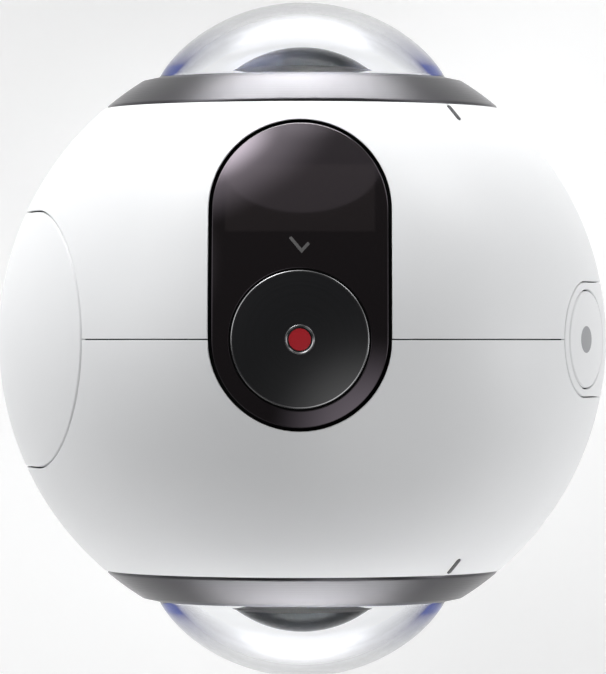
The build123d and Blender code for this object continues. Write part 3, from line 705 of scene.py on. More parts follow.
@dataclass
class BallSkin:
    """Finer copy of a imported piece, with its part of the ball's surface laid anew and its rim rounded."""

    axis: Place
    bevel: float
    seam_bevel: float
    spacing: float
    radius: float = BALL_RADIUS
    weld_digits: int = 3
    on_ball: float = 0.004
    least_facing: float = 0.9
    least_upright: float = 0.9
    seam_band: float = 0.12
    least_corner: float = 0.55
    row_share: float = 0.866
    rim_share: float = 0.62

    def build(self, name: str, source: bpy.types.Mesh) -> bpy.types.Mesh:
        """Builds the finer mesh.

        Args:
            name: The new mesh's name.
            source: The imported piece's mesh.

        Returns:
            The finer mesh, with normals that follow the true ball.
        """
        points, faces = self._weld(source)
        outer = self._outer(points, faces)
        loops = self._loops(faces[outer])
        walls = faces[~outer]
        third = {(int(f[i]), int(f[(i + 1) % 3])): int(f[(i + 2) % 3]) for f in walls for i in range(3)}
        moved = points.copy()
        new_points: list[np.ndarray] = []
        bevel_faces: list[list[int]] = []
        normals: dict[int, np.ndarray] = {}
        rims: list[list[int]] = []
        for loop in loops:
            rims.append(self._round(points, moved, loop, third, new_points, bevel_faces, normals))
        table = np.vstack([moved, new_points])
        skin_points, skin_faces = self._fill(table, rims)
        table = np.vstack([table, skin_points])
        everything = [*walls.tolist(), *bevel_faces, *skin_faces]
        keep = sorted({index for face in everything for index in face})
        index_of = {old: new for new, old in enumerate(keep)}
        everything = [[index_of[index] for index in face] for face in everything]
        mesh = mesh_from(name, table[keep] + np.array([0, 0, BALL_HEIGHT]), everything)
        smooth(mesh)
        self._normals(mesh, table, keep, len(walls), len(bevel_faces), normals)
        LOG.info("%s: %d rims, %d faces", name, len(loops), len(everything))
        return mesh

    def _weld(self, source: bpy.types.Mesh) -> tuple[np.ndarray, np.ndarray]:
        """Reads a mesh, with its double points joined.

        Args:
            source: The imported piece's mesh.

        Returns:
            Points about the ball's middle in millimetres, and triangles.
        """
        raw = np.empty(len(source.vertices) * 3)
        source.vertices.foreach_get("co", raw)
        raw = raw.reshape(-1, 3) / MM - np.array([0, 0, BALL_HEIGHT])
        source.calc_loop_triangles()
        tris = np.empty(len(source.loop_triangles) * 3, dtype=int)
        source.loop_triangles.foreach_get("vertices", tris)
        rounded = np.round(raw, self.weld_digits)
        _, first, inverse = np.unique(rounded, axis=0, return_index=True, return_inverse=True)
        faces = inverse.reshape(-1)[tris].reshape(-1, 3)
        good = (faces[:, 0] != faces[:, 1]) & (faces[:, 1] != faces[:, 2]) & (faces[:, 2] != faces[:, 0])
        return raw[first], faces[good]

    def _outer(self, points: np.ndarray, faces: np.ndarray) -> np.ndarray:
        """Finds the faces that lie on the outside of the ball.

        Args:
            points: The welded points.
            faces: The triangles.

        Returns:
            Their mask.
        """
        on_ball = np.abs(np.linalg.norm(points, axis=1) - self.radius) < self.on_ball
        corners = points[faces]
        normal = unit(np.cross(corners[:, 1] - corners[:, 0], corners[:, 2] - corners[:, 0]))
        away = unit(corners.mean(axis=1))
        return on_ball[faces].all(axis=1) & ((normal * away).sum(axis=1) > self.least_facing)

    @staticmethod
    def _loops(faces: np.ndarray) -> list[list[int]]:
        """Finds the closed rims of a set of faces.

        Args:
            faces: The triangles.

        Returns:
            The points of each rim, with the faces on its left.
        """
        edges = {(int(f[i]), int(f[(i + 1) % 3])) for f in faces for i in range(3)}
        following: dict[int, list[int]] = {}
        for a, b in edges:
            if (b, a) not in edges:
                following.setdefault(a, []).append(b)
        loops = []
        while following:
            start = next(iter(following))
            loop, here = [start], following[start].pop()
            while here != start:
                loop.append(here)
                here = following[here].pop()
            following = {a: rest for a, rest in following.items() if rest}
            loops.append(loop)
        return loops

    def _round(self, points: np.ndarray, moved: np.ndarray, loop: list[int],
               third: dict[tuple[int, int], int], new_points: list[np.ndarray],
               bevel_faces: list[list[int]], normals: dict[int, np.ndarray]) -> list[int]:
        """Rounds one rim over.

        Args:
            points: All welded points.
            moved: The same points, whose rim moves down its wall.
            loop: The rim's points.
            third: Third corner of each wall face by its edge.
            new_points: Gets the rounding's own points.
            bevel_faces: Gets the rounding's faces.
            normals: Gets the normals of the points it knows.

        Returns:
            The rim's new points on the ball.
        """
        place = points[loop]
        out = unit(place)
        along = unit(np.roll(place, -1, axis=0) - place)
        inward = unit(np.cross(out, along))
        before = np.roll(inward, 1, axis=0)
        middle = unit(inward + before)
        reach = 1 / np.maximum(self.least_corner, (middle * inward).sum(axis=1, keepdims=True))
        size = np.where(np.abs(place[:, 1:2]) < self.seam_band, self.seam_bevel, self.bevel)
        drops = []
        for i, a in enumerate(loop):
            b = loop[(i + 1) % len(loop)]
            corner = third.get((b, a))
            edge = along[i]
            down = (points[corner] - points[a]) if corner is not None else -out[i]
            drops.append(down - edge * float(down @ edge))
        drop = unit(np.array(drops))
        fall = unit(drop + np.roll(drop, 1, axis=0))
        rim = unit(place + middle * reach * size) * self.radius
        low = place + fall * size
        mid = 0.25 * low + 0.5 * place + 0.25 * rim
        wall_out = unit(np.cross(along, drop))
        wall_out = unit(wall_out + np.roll(wall_out, 1, axis=0))
        wall_out *= -np.sign((wall_out * middle).sum(axis=1, keepdims=True))
        start = len(points) + len(new_points)
        count = len(loop)
        new_points.extend(mid)
        new_points.extend(rim)
        for i, index in enumerate(loop):
            moved[index] = low[i]
            normals[index] = wall_out[i]
            normals[start + i] = unit(out[i] + wall_out[i])
        for i in range(count):
            j = (i + 1) % count
            bevel_faces.append([loop[i], loop[j], start + j, start + i])
            bevel_faces.append([start + i, start + j, start + count + j, start + count + i])
        return [start + count + i for i in range(count)]

    def _fill(self, table: np.ndarray, rims: list[list[int]]) -> tuple[np.ndarray, list[list[int]]]:
        """Lays the ball's surface between the rims.

        Args:
            table: All points so far.
            rims: The rims' points.

        Returns:
            New points and the faces, which count on from the table.
        """
        axis = unit(np.array(self.axis, dtype=float))
        helper = np.array([0.0, 0.0, 1.0] if abs(axis[2]) < self.least_upright else [1.0, 0.0, 0.0])
        first = unit(np.cross(helper, axis))
        second = np.cross(axis, first)
        indices = [index for rim in rims for index in rim]
        rim_points = table[indices]
        scale = 2 * self.radius / (self.radius + rim_points @ axis)
        flat = np.stack([rim_points @ first * scale, rim_points @ second * scale], axis=1)
        low, high = flat.min(axis=0), flat.max(axis=0)
        step = self.spacing
        xs = np.arange(low[0], high[0], step)
        ys = np.arange(low[1], high[1], step * self.row_share)
        grid = np.array([(x + (k % 2) * step / 2, y) for k, y in enumerate(ys) for x in xs])
        edges, start = [], 0
        for rim in rims:
            edges += [(start + i, start + (i + 1) % len(rim)) for i in range(len(rim))]
            start += len(rim)
        ends = flat[np.array(edges)]
        grid = grid[between(grid, ends)]
        near = np.array([np.min(np.hypot(*(flat - spot).T)) for spot in grid])
        grid = grid[near > step * self.rim_share]
        places, triangles, origins = delaunay(np.vstack([flat, grid]), edges)
        numbers: list[int] = []
        extra: list[np.ndarray] = []
        for place, origin in zip(places, origins):
            if origin and origin[0] < len(indices):
                numbers.append(indices[origin[0]])
                continue
            x, y = place
            size = (x * x + y * y) / (4 * self.radius**2)
            height = self.radius * (1 - size) / (1 + size)
            spread = 1 / (1 + size)
            extra.append(unit(axis * height + (first * x + second * y) * spread) * self.radius)
            numbers.append(len(table) + len(extra) - 1)
        faces = []
        for keep, (a, b, c) in zip(between(middles(places, triangles), ends), triangles):
            if keep:
                turn = (places[b] - places[a]).cross(places[c] - places[a])
                face = [numbers[a], numbers[b], numbers[c]]
                faces.append(face if turn > 0 else face[::-1])
        return np.array(extra).reshape(-1, 3), faces

    @staticmethod
    def _normals(mesh: bpy.types.Mesh, table: np.ndarray, keep: list[int], walls: int, bevels: int,
                 normals: dict[int, np.ndarray]) -> None:
        """Sets the normals of the ball's surface and of the rounded rims.

        Args:
            mesh: The mesh.
            table: All points about the ball's middle.
            keep: The table's rows that the mesh's points come from.
            walls: Number of faces before the rounding's.
            bevels: Number of the rounding's faces.
            normals: Known normals by row of the table.
        """
        found = np.empty(len(mesh.loops) * 3)
        mesh.corner_normals.foreach_get("vector", found)
        found = found.reshape(-1, 3)
        radial = unit(table[keep])
        for polygon in mesh.polygons[walls:]:
            for corner in polygon.loop_indices:
                vertex = mesh.loops[corner].vertex_index
                known = normals.get(keep[vertex]) if polygon.index < walls + bevels else None
                found[corner] = radial[vertex] if known is None else known
        mesh.normals_split_custom_set(found.tolist())


def delaunay(points: Iterable[Sequence[float]], edges: list[tuple[int, int]]
             ) -> tuple[list[Vector], list[list[int]], list[list[int]]]:
    """Triangulates flat points with fixed edges.

    Args:
        points: The points.
        edges: The fixed edges.

    Returns:
        The points, the triangles and the input points that each point came from.
    """
    spots = [Vector((float(x), float(y))) for x, y in points]
    places, _, faces, origins, _, _ = delaunay_2d_cdt(spots, edges, [], 0, SAME_SPOT)
    return places, faces, origins


def between(places: np.ndarray, ends: np.ndarray) -> np.ndarray:
    """Finds the flat points that lie between closed outlines, by counting crossings.

    Args:
        places: The points.
        ends: Both ends of each side of the outlines.

    Returns:
        Their mask.
    """
    x, y = places[:, 0:1], places[:, 1:2]
    ax, ay, bx, by = ends[:, 0, 0], ends[:, 0, 1], ends[:, 1, 0], ends[:, 1, 1]
    crosses = (ay > y) != (by > y)
    with np.errstate(divide="ignore", invalid="ignore"):
        at = ax + (y - ay) / (by - ay) * (bx - ax)
    return (crosses & (x < at)).sum(axis=1) % 2 == 1


def middles(places: list[Vector], triangles: list[list[int]]) -> np.ndarray:
    """Middle of each flat triangle."""
    return np.array([[sum(places[corner][k] for corner in face) / 3 for k in (0, 1)] for face in triangles])


def arc(middle: float, radius: float, start: Point, end: Point, count: int) -> list[Point]:
    """Points of radius and depth on a circle that is centred on the axis.

    Args:
        middle: The circle's depth on the axis.
        radius: Its radius.
        start: The first point.
        end: The last point.
        count: Number of points.

    Returns:
        The points.
    """
    a = math.atan2(start[0], start[1] - middle)
    b = math.atan2(end[0], end[1] - middle)
    angles = [a + (b - a) * i / (count - 1) for i in range(count)]
    return [(radius * math.sin(t), middle + radius * math.cos(t)) for t in angles]


def soften(outline: Sequence[Point], size: float, least: float = 25.0, share: float = 0.4, steps: int = 4
           ) -> list[Point]:
    """Rounds the corners of a closed outline of radius and depth.

    Args:
        outline: The outline.
        size: The rounding's reach along each side.
        least: Corners that turn less than this many degrees stay.
        share: The most of a side that one corner's rounding takes.
        steps: Number of sides that each rounding gets.

    Returns:
        The rounded outline.
    """
    rounded: list[Point] = []
    count = len(outline)
    for i, here in enumerate(outline):
        before, after = Vector(outline[i - 1]), Vector(outline[(i + 1) % count])
        corner = Vector(here)
        back, on = before - corner, after - corner
        turn = 180 - math.degrees(back.angle(on)) if back.length and on.length else 0
        if turn < least or corner.x < ON_AXIS:
            rounded.append(here)
            continue
        first = corner + back.normalized() * min(size, back.length * share)
        last = corner + on.normalized() * min(size, on.length * share)
        for t in (k / steps for k in range(steps + 1)):
            spot = first * (1 - t) ** 2 + corner * (2 * t * (1 - t)) + last * t**2
            rounded.append((spot.x, spot.y))
    return rounded


@dataclass
class TurnedBody:
    """Solid turned about a lens axis or an upright axis from an outline of radius and depth."""

    outline: list[Point]
    turn: Turn
    segments: int = 160
    bevel: float = 0.1

    def build(self, name: str) -> bpy.types.Mesh:
        """Builds the mesh.

        Args:
            name: The mesh's name.

        Returns:
            The mesh.
        """
        profile = soften(self.outline, self.bevel) if self.bevel else self.outline
        axis = np.array(self.turn.value, dtype=float)
        first = np.array([1.0, 0.0, 0.0])
        second = np.cross(axis, first)
        middle = np.array([0, 0, 0 if self.turn is Turn.UP else BALL_HEIGHT])
        rows: list[list[int]] = []
        points: list[np.ndarray] = []
        for radius, depth in profile:
            spot = middle + axis * depth
            if radius < ON_AXIS:
                rows.append([len(points)] * self.segments)
                points.append(spot)
                continue
            rows.append(list(range(len(points), len(points) + self.segments)))
            for k in range(self.segments):
                angle = math.tau * k / self.segments
                points.append(spot + radius * (first * math.cos(angle) + second * math.sin(angle)))
        faces = []
        for i, row in enumerate(rows):
            other = rows[(i + 1) % len(rows)]
            for k in range(self.segments):
                j = (k + 1) % self.segments
                face = [row[k], row[j], other[j], other[k]]
                face = [v for n, v in enumerate(face) if v != face[n - 1]]
                if len(face) > 2:
                    faces.append(face)
        mesh = mesh_from(name, np.array(points), faces)
        face_outwards(mesh)
        smooth(mesh)
        return mesh


@dataclass
class BallMark:
    """Thin printed mark laid on the ball, from flat outlines seen from one side."""

    side: Side
    outlines: list[list[Point]]
    inner: list[Point] = field(default_factory=list)
    rise: float = PRINT_RISE
    depth: float = PRINT_DEPTH
    step: float = 0.25

    def build(self, name: str) -> bpy.types.Mesh:
        """Builds the mark.

        Args:
            name: The mesh's name.

        Returns:
            The mesh.
        """
        across, up, out = (np.array(direction, dtype=float) for direction in self.side.value)
        points: list[np.ndarray] = []
        faces: list[list[int]] = []
        for outline in self.outlines:
            flat = [Vector(point) for point in self._dense(outline)]
            edges = [(i, (i + 1) % len(flat)) for i in range(len(flat))]
            places, triangles, _ = delaunay([*flat, *self.inner], edges)
            inside = between(middles(places, triangles), np.array([[flat[a], flat[b]] for a, b in edges]))
            base, count = len(points), len(places)
            for radius in (BALL_RADIUS + self.rise, BALL_RADIUS - self.depth):
                for x, y in places:
                    height = math.sqrt(radius**2 - x * x - y * y)
                    points.append(across * x + up * y + out * height + np.array([0, 0, BALL_HEIGHT]))
            kept = [face for keep, face in zip(inside, triangles) if keep]
            border = {}
            for a, b, c in kept:
                faces.append([base + a, base + b, base + c])
                faces.append([base + count + c, base + count + b, base + count + a])
                for edge in ((a, b), (b, c), (c, a)):
                    border[edge] = True
            for a, b in border:
                if (b, a) not in border:
                    faces.append([base + b, base + a, base + count + a, base + count + b])
        mesh = mesh_from(name, np.array(points), faces)
        face_outwards(mesh)
        smooth(mesh)
        return mesh

    def _dense(self, outline: list[Point]) -> list[Point]:
        """Adds points to an outline, so that no run is longer than the step.

        Args:
            outline: The outline.

        Returns:
            The outline with more points.
        """
        dense: list[Point] = []
        for (x0, y0), (x1, y1) in zip(outline, outline[1:] + outline[:1]):
            count = max(1, math.ceil(math.hypot(x1 - x0, y1 - y0) / self.step))
            dense += [(x0 + (x1 - x0) * i / count, y0 + (y1 - y0) * i / count) for i in range(count)]
        return dense


def disc(x: float, y: float, radius: float, count: int = 40) -> list[Point]:
    """Circle as points.

    Args:
        x: Its middle's first coordinate.
        y: Its middle's second coordinate.
        radius: Its radius.
        count: Number of points.

    Returns:
        The points.
    """
    turns = [math.tau * i / count for i in range(count)]
    return [(x + radius * math.cos(turn), y + radius * math.sin(turn)) for turn in turns]


def stroke(spots: Sequence[Point], width: float, least: float = 0.5) -> list[Point]:
    """Outline of a pen stroke through some spots, with square ends.

    Args:
        spots: The spots.
        width: The stroke's width.
        least: How far a bend may draw the stroke's corner out, as one over this share.

    Returns:
        The outline.
    """
    left, right = [], []
    for i, spot in enumerate(spots):
        here = Vector(spot)
        before = (here - Vector(spots[i - 1])).normalized() if i else None
        after = (Vector(spots[i + 1]) - here).normalized() if i + 1 < len(spots) else before
        run = ((before or after) + after).normalized()
        side = Vector((-run.y, run.x))
        reach = width / 2 / max(least, abs(side.dot(Vector((-after.y, after.x)))))
        left.append(tuple(here + side * reach))
        right.append(tuple(here - side * reach))
    return left + right[::-1]


# What repeats


class Growth:
    """Sketches one Geometry Nodes tree and turns what it grows into a plain mesh."""

    def __init__(self, name: str) -> None:
        """Starts an empty tree.

        Args:
            name: The tree's name.
        """
        self.tree = bpy.data.node_groups.new(name, "GeometryNodeTree")
        self.tree.interface.new_socket(name="Geometry", in_out="INPUT", socket_type="NodeSocketGeometry")
        self.tree.interface.new_socket(name="Geometry", in_out="OUTPUT", socket_type="NodeSocketGeometry")
        self.entry = self.tree.nodes.new("NodeGroupInput")
        self.exit = self.tree.nodes.new("NodeGroupOutput")
        self.values: dict[str, float] = {}

    def sizes(self, **values: float) -> list[Socket]:
        """Adds a named input for each size in millimetres, kept in metres, or for each whole count.

        Args:
            **values: The values by name, with underscores for spaces.

        Returns:
            The inputs' sockets.
        """
        for key, value in values.items():
            kind = "NodeSocketInt" if isinstance(value, int) else "NodeSocketFloat"
            self.tree.interface.new_socket(name=self._label(key), in_out="INPUT", socket_type=kind)
            self.values[self._label(key)] = value if isinstance(value, int) else value * MM
        return self.known(*values)

    def known(self, *keys: str) -> list[Socket]:
        """Sockets of inputs that were added before."""
        return [self.entry.outputs[self._label(key)] for key in keys]

    @staticmethod
    def _label(key: str) -> str:
        """Name that an input has in the tree."""
        return key.replace("_", " ").capitalize()

    def node(self, kind: str, feeds: dict[str | int, object] | None = None, **settings: object
             ) -> bpy.types.Node:
        """Adds a node.

        Args:
            kind: The node's type.
            feeds: Values or links for its inputs, by name or number.
            **settings: Its properties.

        Returns:
            The node.
        """
        node = self.tree.nodes.new(kind)
        for key, value in settings.items():
            setattr(node, key, value)
        for key, value in (feeds or {}).items():
            if isinstance(value, Socket):
                self.tree.links.new(value, node.inputs[key])
            else:
                node.inputs[key].default_value = value
        return node

    def grown(self, kind: str, feeds: dict[str | int, object], **settings: object) -> Socket:
        """Adds a node and gives its first output."""
        return self.node(kind, feeds, **settings).outputs[0]

    def math(self, operation: str, *values: object) -> Socket:
        """Adds a Math node and gives its result."""
        return self.grown("ShaderNodeMath", dict(enumerate(values)), operation=operation)

    def times(self, value: Socket, factor: object) -> Socket:
        """Multiplies two numbers."""
        return self.math("MULTIPLY", value, factor)

    def squares(self, *values: Socket) -> Socket:
        """Adds the squares of two numbers."""
        return self.math("ADD", *(self.math("POWER", value, 2.0) for value in values))

    def vector(self, x: object = 0.0, y: object = 0.0, z: object = 0.0) -> Socket:
        """Joins three numbers to a vector."""
        return self.grown("ShaderNodeCombineXYZ", {0: x, 1: y, 2: z})

    def parts(self, vector: Socket) -> list[Socket]:
        """Splits a vector into its three numbers."""
        return list(self.node("ShaderNodeSeparateXYZ", {0: vector}).outputs)

    def shift(self, geometry: Socket, offset: object) -> Socket:
        """Moves a geometry."""
        return self.grown("GeometryNodeTransform", {"Geometry": geometry, "Translation": offset})

    def join(self, *geometries: Socket) -> Socket:
        """Joins geometries.

        Args:
            *geometries: What is joined.

        Returns:
            The joined geometry.
        """
        node = self.tree.nodes.new("GeometryNodeJoinGeometry")
        for geometry in geometries:
            self.tree.links.new(geometry, node.inputs[0])
        return node.outputs[0]

    def end(self, geometry: Socket, material: bpy.types.Material) -> None:
        """Ends the tree in real geometry with its material.

        Args:
            geometry: What has been grown.
            material: Its material.
        """
        real = self.grown("GeometryNodeRealizeInstances", {"Geometry": geometry})
        dressed = self.grown("GeometryNodeSetMaterial", {"Geometry": real, "Material": material})
        self.tree.links.new(dressed, self.exit.inputs["Geometry"])

    def grow(self, name: str, base: bpy.types.Mesh | None = None) -> bpy.types.Mesh:
        """Runs the tree.

        Args:
            name: The new mesh's name.
            base: The mesh that the tree starts from, if it needs one.

        Returns:
            The plain mesh.
        """
        carrier = bpy.data.objects.new(name + "_carrier", base or bpy.data.meshes.new(name + "_base"))
        bpy.context.scene.collection.objects.link(carrier)
        modifier = carrier.modifiers.new("grow", "NODES")
        modifier.node_group = self.tree
        for item in self.tree.interface.items_tree:
            if item.in_out == "INPUT" and item.name in self.values:
                modifier[item.identifier] = self.values[item.name]
        bpy.context.view_layer.update()
        grown = carrier.evaluated_get(bpy.context.evaluated_depsgraph_get())
        mesh = bpy.data.meshes.new_from_object(grown)
        carrier.modifiers.remove(modifier)
        bpy.data.objects.remove(carrier)
        mesh.name = name
        return mesh


@dataclass
class ScrewSet:
    """Pan head screws with a rolled thread and a cross recess, one at each given tip."""

    tips: list[Place]
    ways: list[Place]
    under_head: float = 5.7
    head_radius: float = 1.4
    head_height: float = 0.9
    head_sides: int = 40
    head_rows: int = 20
    crown_flatness: float = 5.0
    crown_share: float = 0.3
    core_radius: float = 0.66
    core_sides: int = 24
    thread_depth: float = 0.14
    thread_pitch: float = 0.5
    thread_steps: int = 20
    thread_sides: int = 4
    recess_width: float = 0.26
    recess_reach: float = 0.62
    recess_depth: float = 0.5
    crease_deg: float = 40.0

    def build(self, name: str, material: bpy.types.Material) -> bpy.types.Mesh:
        """Grows the screws.

        Args:
            name: The mesh's name.
            material: The screws' finish.

        Returns:
            The mesh.
        """
        sketch = Growth(name + "_tree")
        screw = sketch.join(self._shank(sketch), self._thread(sketch), self._head(sketch))
        way = sketch.grown("GeometryNodeInputNamedAttribute", {"Name": "way"}, data_type="FLOAT_VECTOR")
        turn = sketch.grown("FunctionNodeAlignRotationToVector", {"Vector": way}, axis="Z")
        points = sketch.grown("GeometryNodeMeshToPoints", {"Mesh": sketch.entry.outputs["Geometry"]})
        placed = sketch.grown("GeometryNodeInstanceOnPoints", {
            "Points": points, "Instance": screw, "Rotation": turn})
        sketch.end(placed, material)
        base = mesh_from(name + "_tips", np.array(self.tips), [])
        attribute = base.attributes.new("way", "FLOAT_VECTOR", "POINT")
        attribute.data.foreach_set("vector", [number for way in self.ways for number in way])
        mesh = sketch.grow(name, base)
        smooth(mesh, self.crease_deg)
        return mesh

    def _shank(self, sketch: Growth) -> Socket:
        """Grows the plain core that the thread winds about.

        Args:
            sketch: The tree.

        Returns:
            The core, with its tip at the origin.
        """
        radius, length = sketch.sizes(core_radius=self.core_radius, length_under_head=self.under_head)
        core = sketch.grown("GeometryNodeMeshCylinder", {
            "Vertices": self.core_sides, "Radius": radius, "Depth": length})
        return sketch.shift(core, sketch.vector(z=sketch.times(length, 0.5)))

    def _thread(self, sketch: Growth) -> Socket:
        """Grows the rolled thread, a ridge that winds up the core.

        Args:
            sketch: The tree, which knows the core's sizes.

        Returns:
            The thread.
        """
        radius, length = sketch.known("core_radius", "length_under_head")
        pitch, depth = sketch.sizes(thread_pitch=self.thread_pitch, thread_depth=self.thread_depth)
        run = sketch.math("SUBTRACT", length, sketch.times(depth, 2.0))
        spiral = sketch.grown("GeometryNodeCurveSpiral", {
            "Resolution": self.thread_steps, "Rotations": sketch.math("DIVIDE", run, pitch),
            "Start Radius": radius, "End Radius": radius, "Height": run})
        ridge = sketch.grown("GeometryNodeCurvePrimitiveCircle", {
            "Resolution": self.thread_sides, "Radius": depth})
        wound = sketch.grown("GeometryNodeCurveToMesh", {
            "Curve": spiral, "Profile Curve": ridge, "Fill Caps": True})
        return sketch.shift(wound, sketch.vector(z=depth))

    def _head(self, sketch: Growth) -> Socket:
        """Grows the pan head and cuts its cross recess.

        Args:
            sketch: The tree, which knows the core's sizes.

        Returns:
            The head, on the core's end.
        """
        (length,) = sketch.known("length_under_head")
        radius, height = sketch.sizes(head_radius=self.head_radius, head_height=self.head_height)
        globe = sketch.grown("GeometryNodeMeshUVSphere", {
            "Segments": self.head_sides, "Rings": self.head_rows, "Radius": radius})
        x, y, z = sketch.parts(sketch.grown("GeometryNodeInputPosition", {}))
        reach = sketch.math("SQRT", sketch.squares(x, y))
        share = sketch.math("MINIMUM", sketch.math("DIVIDE", reach, radius), 1.0)
        fall = sketch.math("SUBTRACT", 1.0, sketch.math("POWER", share, self.crown_flatness))
        crown = sketch.math("POWER", sketch.math("MAXIMUM", fall, 0.0), self.crown_share)
        over = sketch.math("GREATER_THAN", z, 0.0)
        place = sketch.vector(x, y, sketch.times(sketch.times(height, crown), over))
        pan = sketch.grown("GeometryNodeSetPosition", {"Geometry": globe, "Position": place})
        wide, far, deep = sketch.sizes(recess_width=self.recess_width, recess_reach=self.recess_reach,
                                       recess_depth=self.recess_depth)
        span, tall = sketch.times(far, 2.0), sketch.times(deep, 2.0)
        across = sketch.grown("GeometryNodeMeshCube", {"Size": sketch.vector(span, wide, tall)})
        along = sketch.grown("GeometryNodeMeshCube", {"Size": sketch.vector(wide, span, tall)})
        cross = sketch.shift(sketch.join(across, along), sketch.vector(z=height))
        feeds = {"Mesh 1": pan, "Mesh 2": cross, "Self Intersection": True}
        cut = sketch.grown("GeometryNodeMeshBoolean", feeds, operation="DIFFERENCE", solver="EXACT")
        return sketch.shift(cut, sketch.vector(z=length))


@dataclass
class KeyBars:
    """Row of short printed bars that follow the ball on the power key."""

    count: int = 3
    pitch: float = 0.85
    length: float = 2.6
    width: float = 0.4
    points_across: int = 4
    points_along: int = 14
    key_height: float = -10.45
    rise: float = PRINT_RISE
    depth: float = PRINT_DEPTH

    def build(self, name: str, material: bpy.types.Material) -> bpy.types.Mesh:
        """Grows the bars.

        Args:
            name: The mesh's name.
            material: The print's finish.

        Returns:
            The mesh.
        """
        sketch = Growth(name + "_tree")
        count, pitch = sketch.sizes(count=self.count, pitch=self.pitch)
        first = sketch.times(sketch.math("SUBTRACT", count, 1), sketch.times(pitch, -0.5))
        row = sketch.grown("GeometryNodeMeshLine", {
            "Count": count, "Start Location": sketch.vector(first), "Offset": sketch.vector(pitch)})
        width, length = sketch.sizes(width=self.width, length=self.length)
        bar = sketch.grown("GeometryNodeMeshGrid", {
            "Size X": width, "Size Y": length, "Vertices X": self.points_across,
            "Vertices Y": self.points_along})
        placed = sketch.grown("GeometryNodeInstanceOnPoints", {"Points": row, "Instance": bar})
        foot = self._on_ball(sketch, sketch.grown("GeometryNodeRealizeInstances", {"Geometry": placed}))
        rise, depth = *sketch.sizes(rise=self.rise), *sketch.known("depth")
        raised = sketch.grown("GeometryNodeExtrudeMesh", {
            "Mesh": foot, "Offset Scale": sketch.math("ADD", rise, depth), "Individual": False})
        under = sketch.grown("GeometryNodeFlipFaces", {"Mesh": foot})
        closed = sketch.grown("GeometryNodeMergeByDistance", {
            "Geometry": sketch.join(raised, under), "Distance": SAME_SPOT})
        sketch.end(closed, material)
        mesh = sketch.grow(name)
        smooth(mesh)
        return mesh

    def _on_ball(self, sketch: Growth, flat: Socket) -> Socket:
        """Lays flat bars on the ball, a little under its surface.

        Args:
            sketch: The tree.
            flat: The bars, lying flat about the origin.

        Returns:
            The bars on the key side of the ball.
        """
        ball, depth, middle, key = sketch.sizes(ball_radius=BALL_RADIUS, depth=self.depth,
                                                ball_height=BALL_HEIGHT, key_height=self.key_height)
        radius = sketch.math("SUBTRACT", ball, depth)
        x, y, _ = sketch.parts(sketch.grown("GeometryNodeInputPosition", {}))
        up = sketch.math("SUBTRACT", key, x)
        square = sketch.math("SUBTRACT", sketch.math("POWER", radius, 2.0), sketch.squares(up, y))
        place = sketch.vector(sketch.math("SQRT", square), y, sketch.math("ADD", up, middle))
        return sketch.grown("GeometryNodeSetPosition", {"Geometry": flat, "Position": place})


# Sub-assemblies


@dataclass
class Assembly(ABC):
    """Part of the camera that builds and dresses its own pieces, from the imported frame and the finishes."""

    frame: dict
    book: FinishBook

    @abstractmethod
    def build(self) -> None:
        """Builds and dresses the pieces."""

    def add(self, name: str, mesh: bpy.types.Mesh, body: str, slot: str, finish: Finish,
            replaces: Sequence[str] = ()) -> None:
        """Adds a piece to the scene.

        Args:
            name: Its name.
            mesh: Its mesh.
            body: The body that it rides on.
            slot: The record's material slot, not used.
            finish: Its finish.
            replaces: The nodes that it stands for.
        """
        piece = bpy.data.objects.new(name, mesh)
        bpy.context.scene.collection.objects.link(piece)
        mesh.materials.clear()
        mesh.materials.append(self.book.material(finish))
        mesh.polygons.foreach_set("material_index", [0] * len(mesh.polygons))
        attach(piece, body)
        if replaces:
            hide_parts(*replaces)
        LOG.info("piece %s on %s, %d faces", name, body, len(mesh.polygons))

    def reskin(self, node: str, skin: BallSkin, body: str, slot: str, finish: Finish) -> None:
        """Replaces a node with its finer copy.

        Args:
            node: The node.
            skin: How its outside is laid.
            body: Its body.
            slot: Its slot.
            finish: Its finish.
        """
        mesh = skin.build(node + "_fine", self.frame["nodes"][node].data)
        self.add(node + "_fine", mesh, body, slot, finish, [node])


@dataclass
class Housing(Assembly):
    """The two half shells."""

    edge: float = 0.13
    seam_edge: float = 0.05
    spacing: float = 1.5

    def build(self) -> None:
        """Builds both half shells with rounded openings."""
        for node, side in (("front_shell", -1), ("rear_shell", 1)):
            skin = BallSkin((0, side, 0), self.edge, self.seam_edge, self.spacing)
            self.reskin(node, skin, "body", "white", WHITE_SKIN)


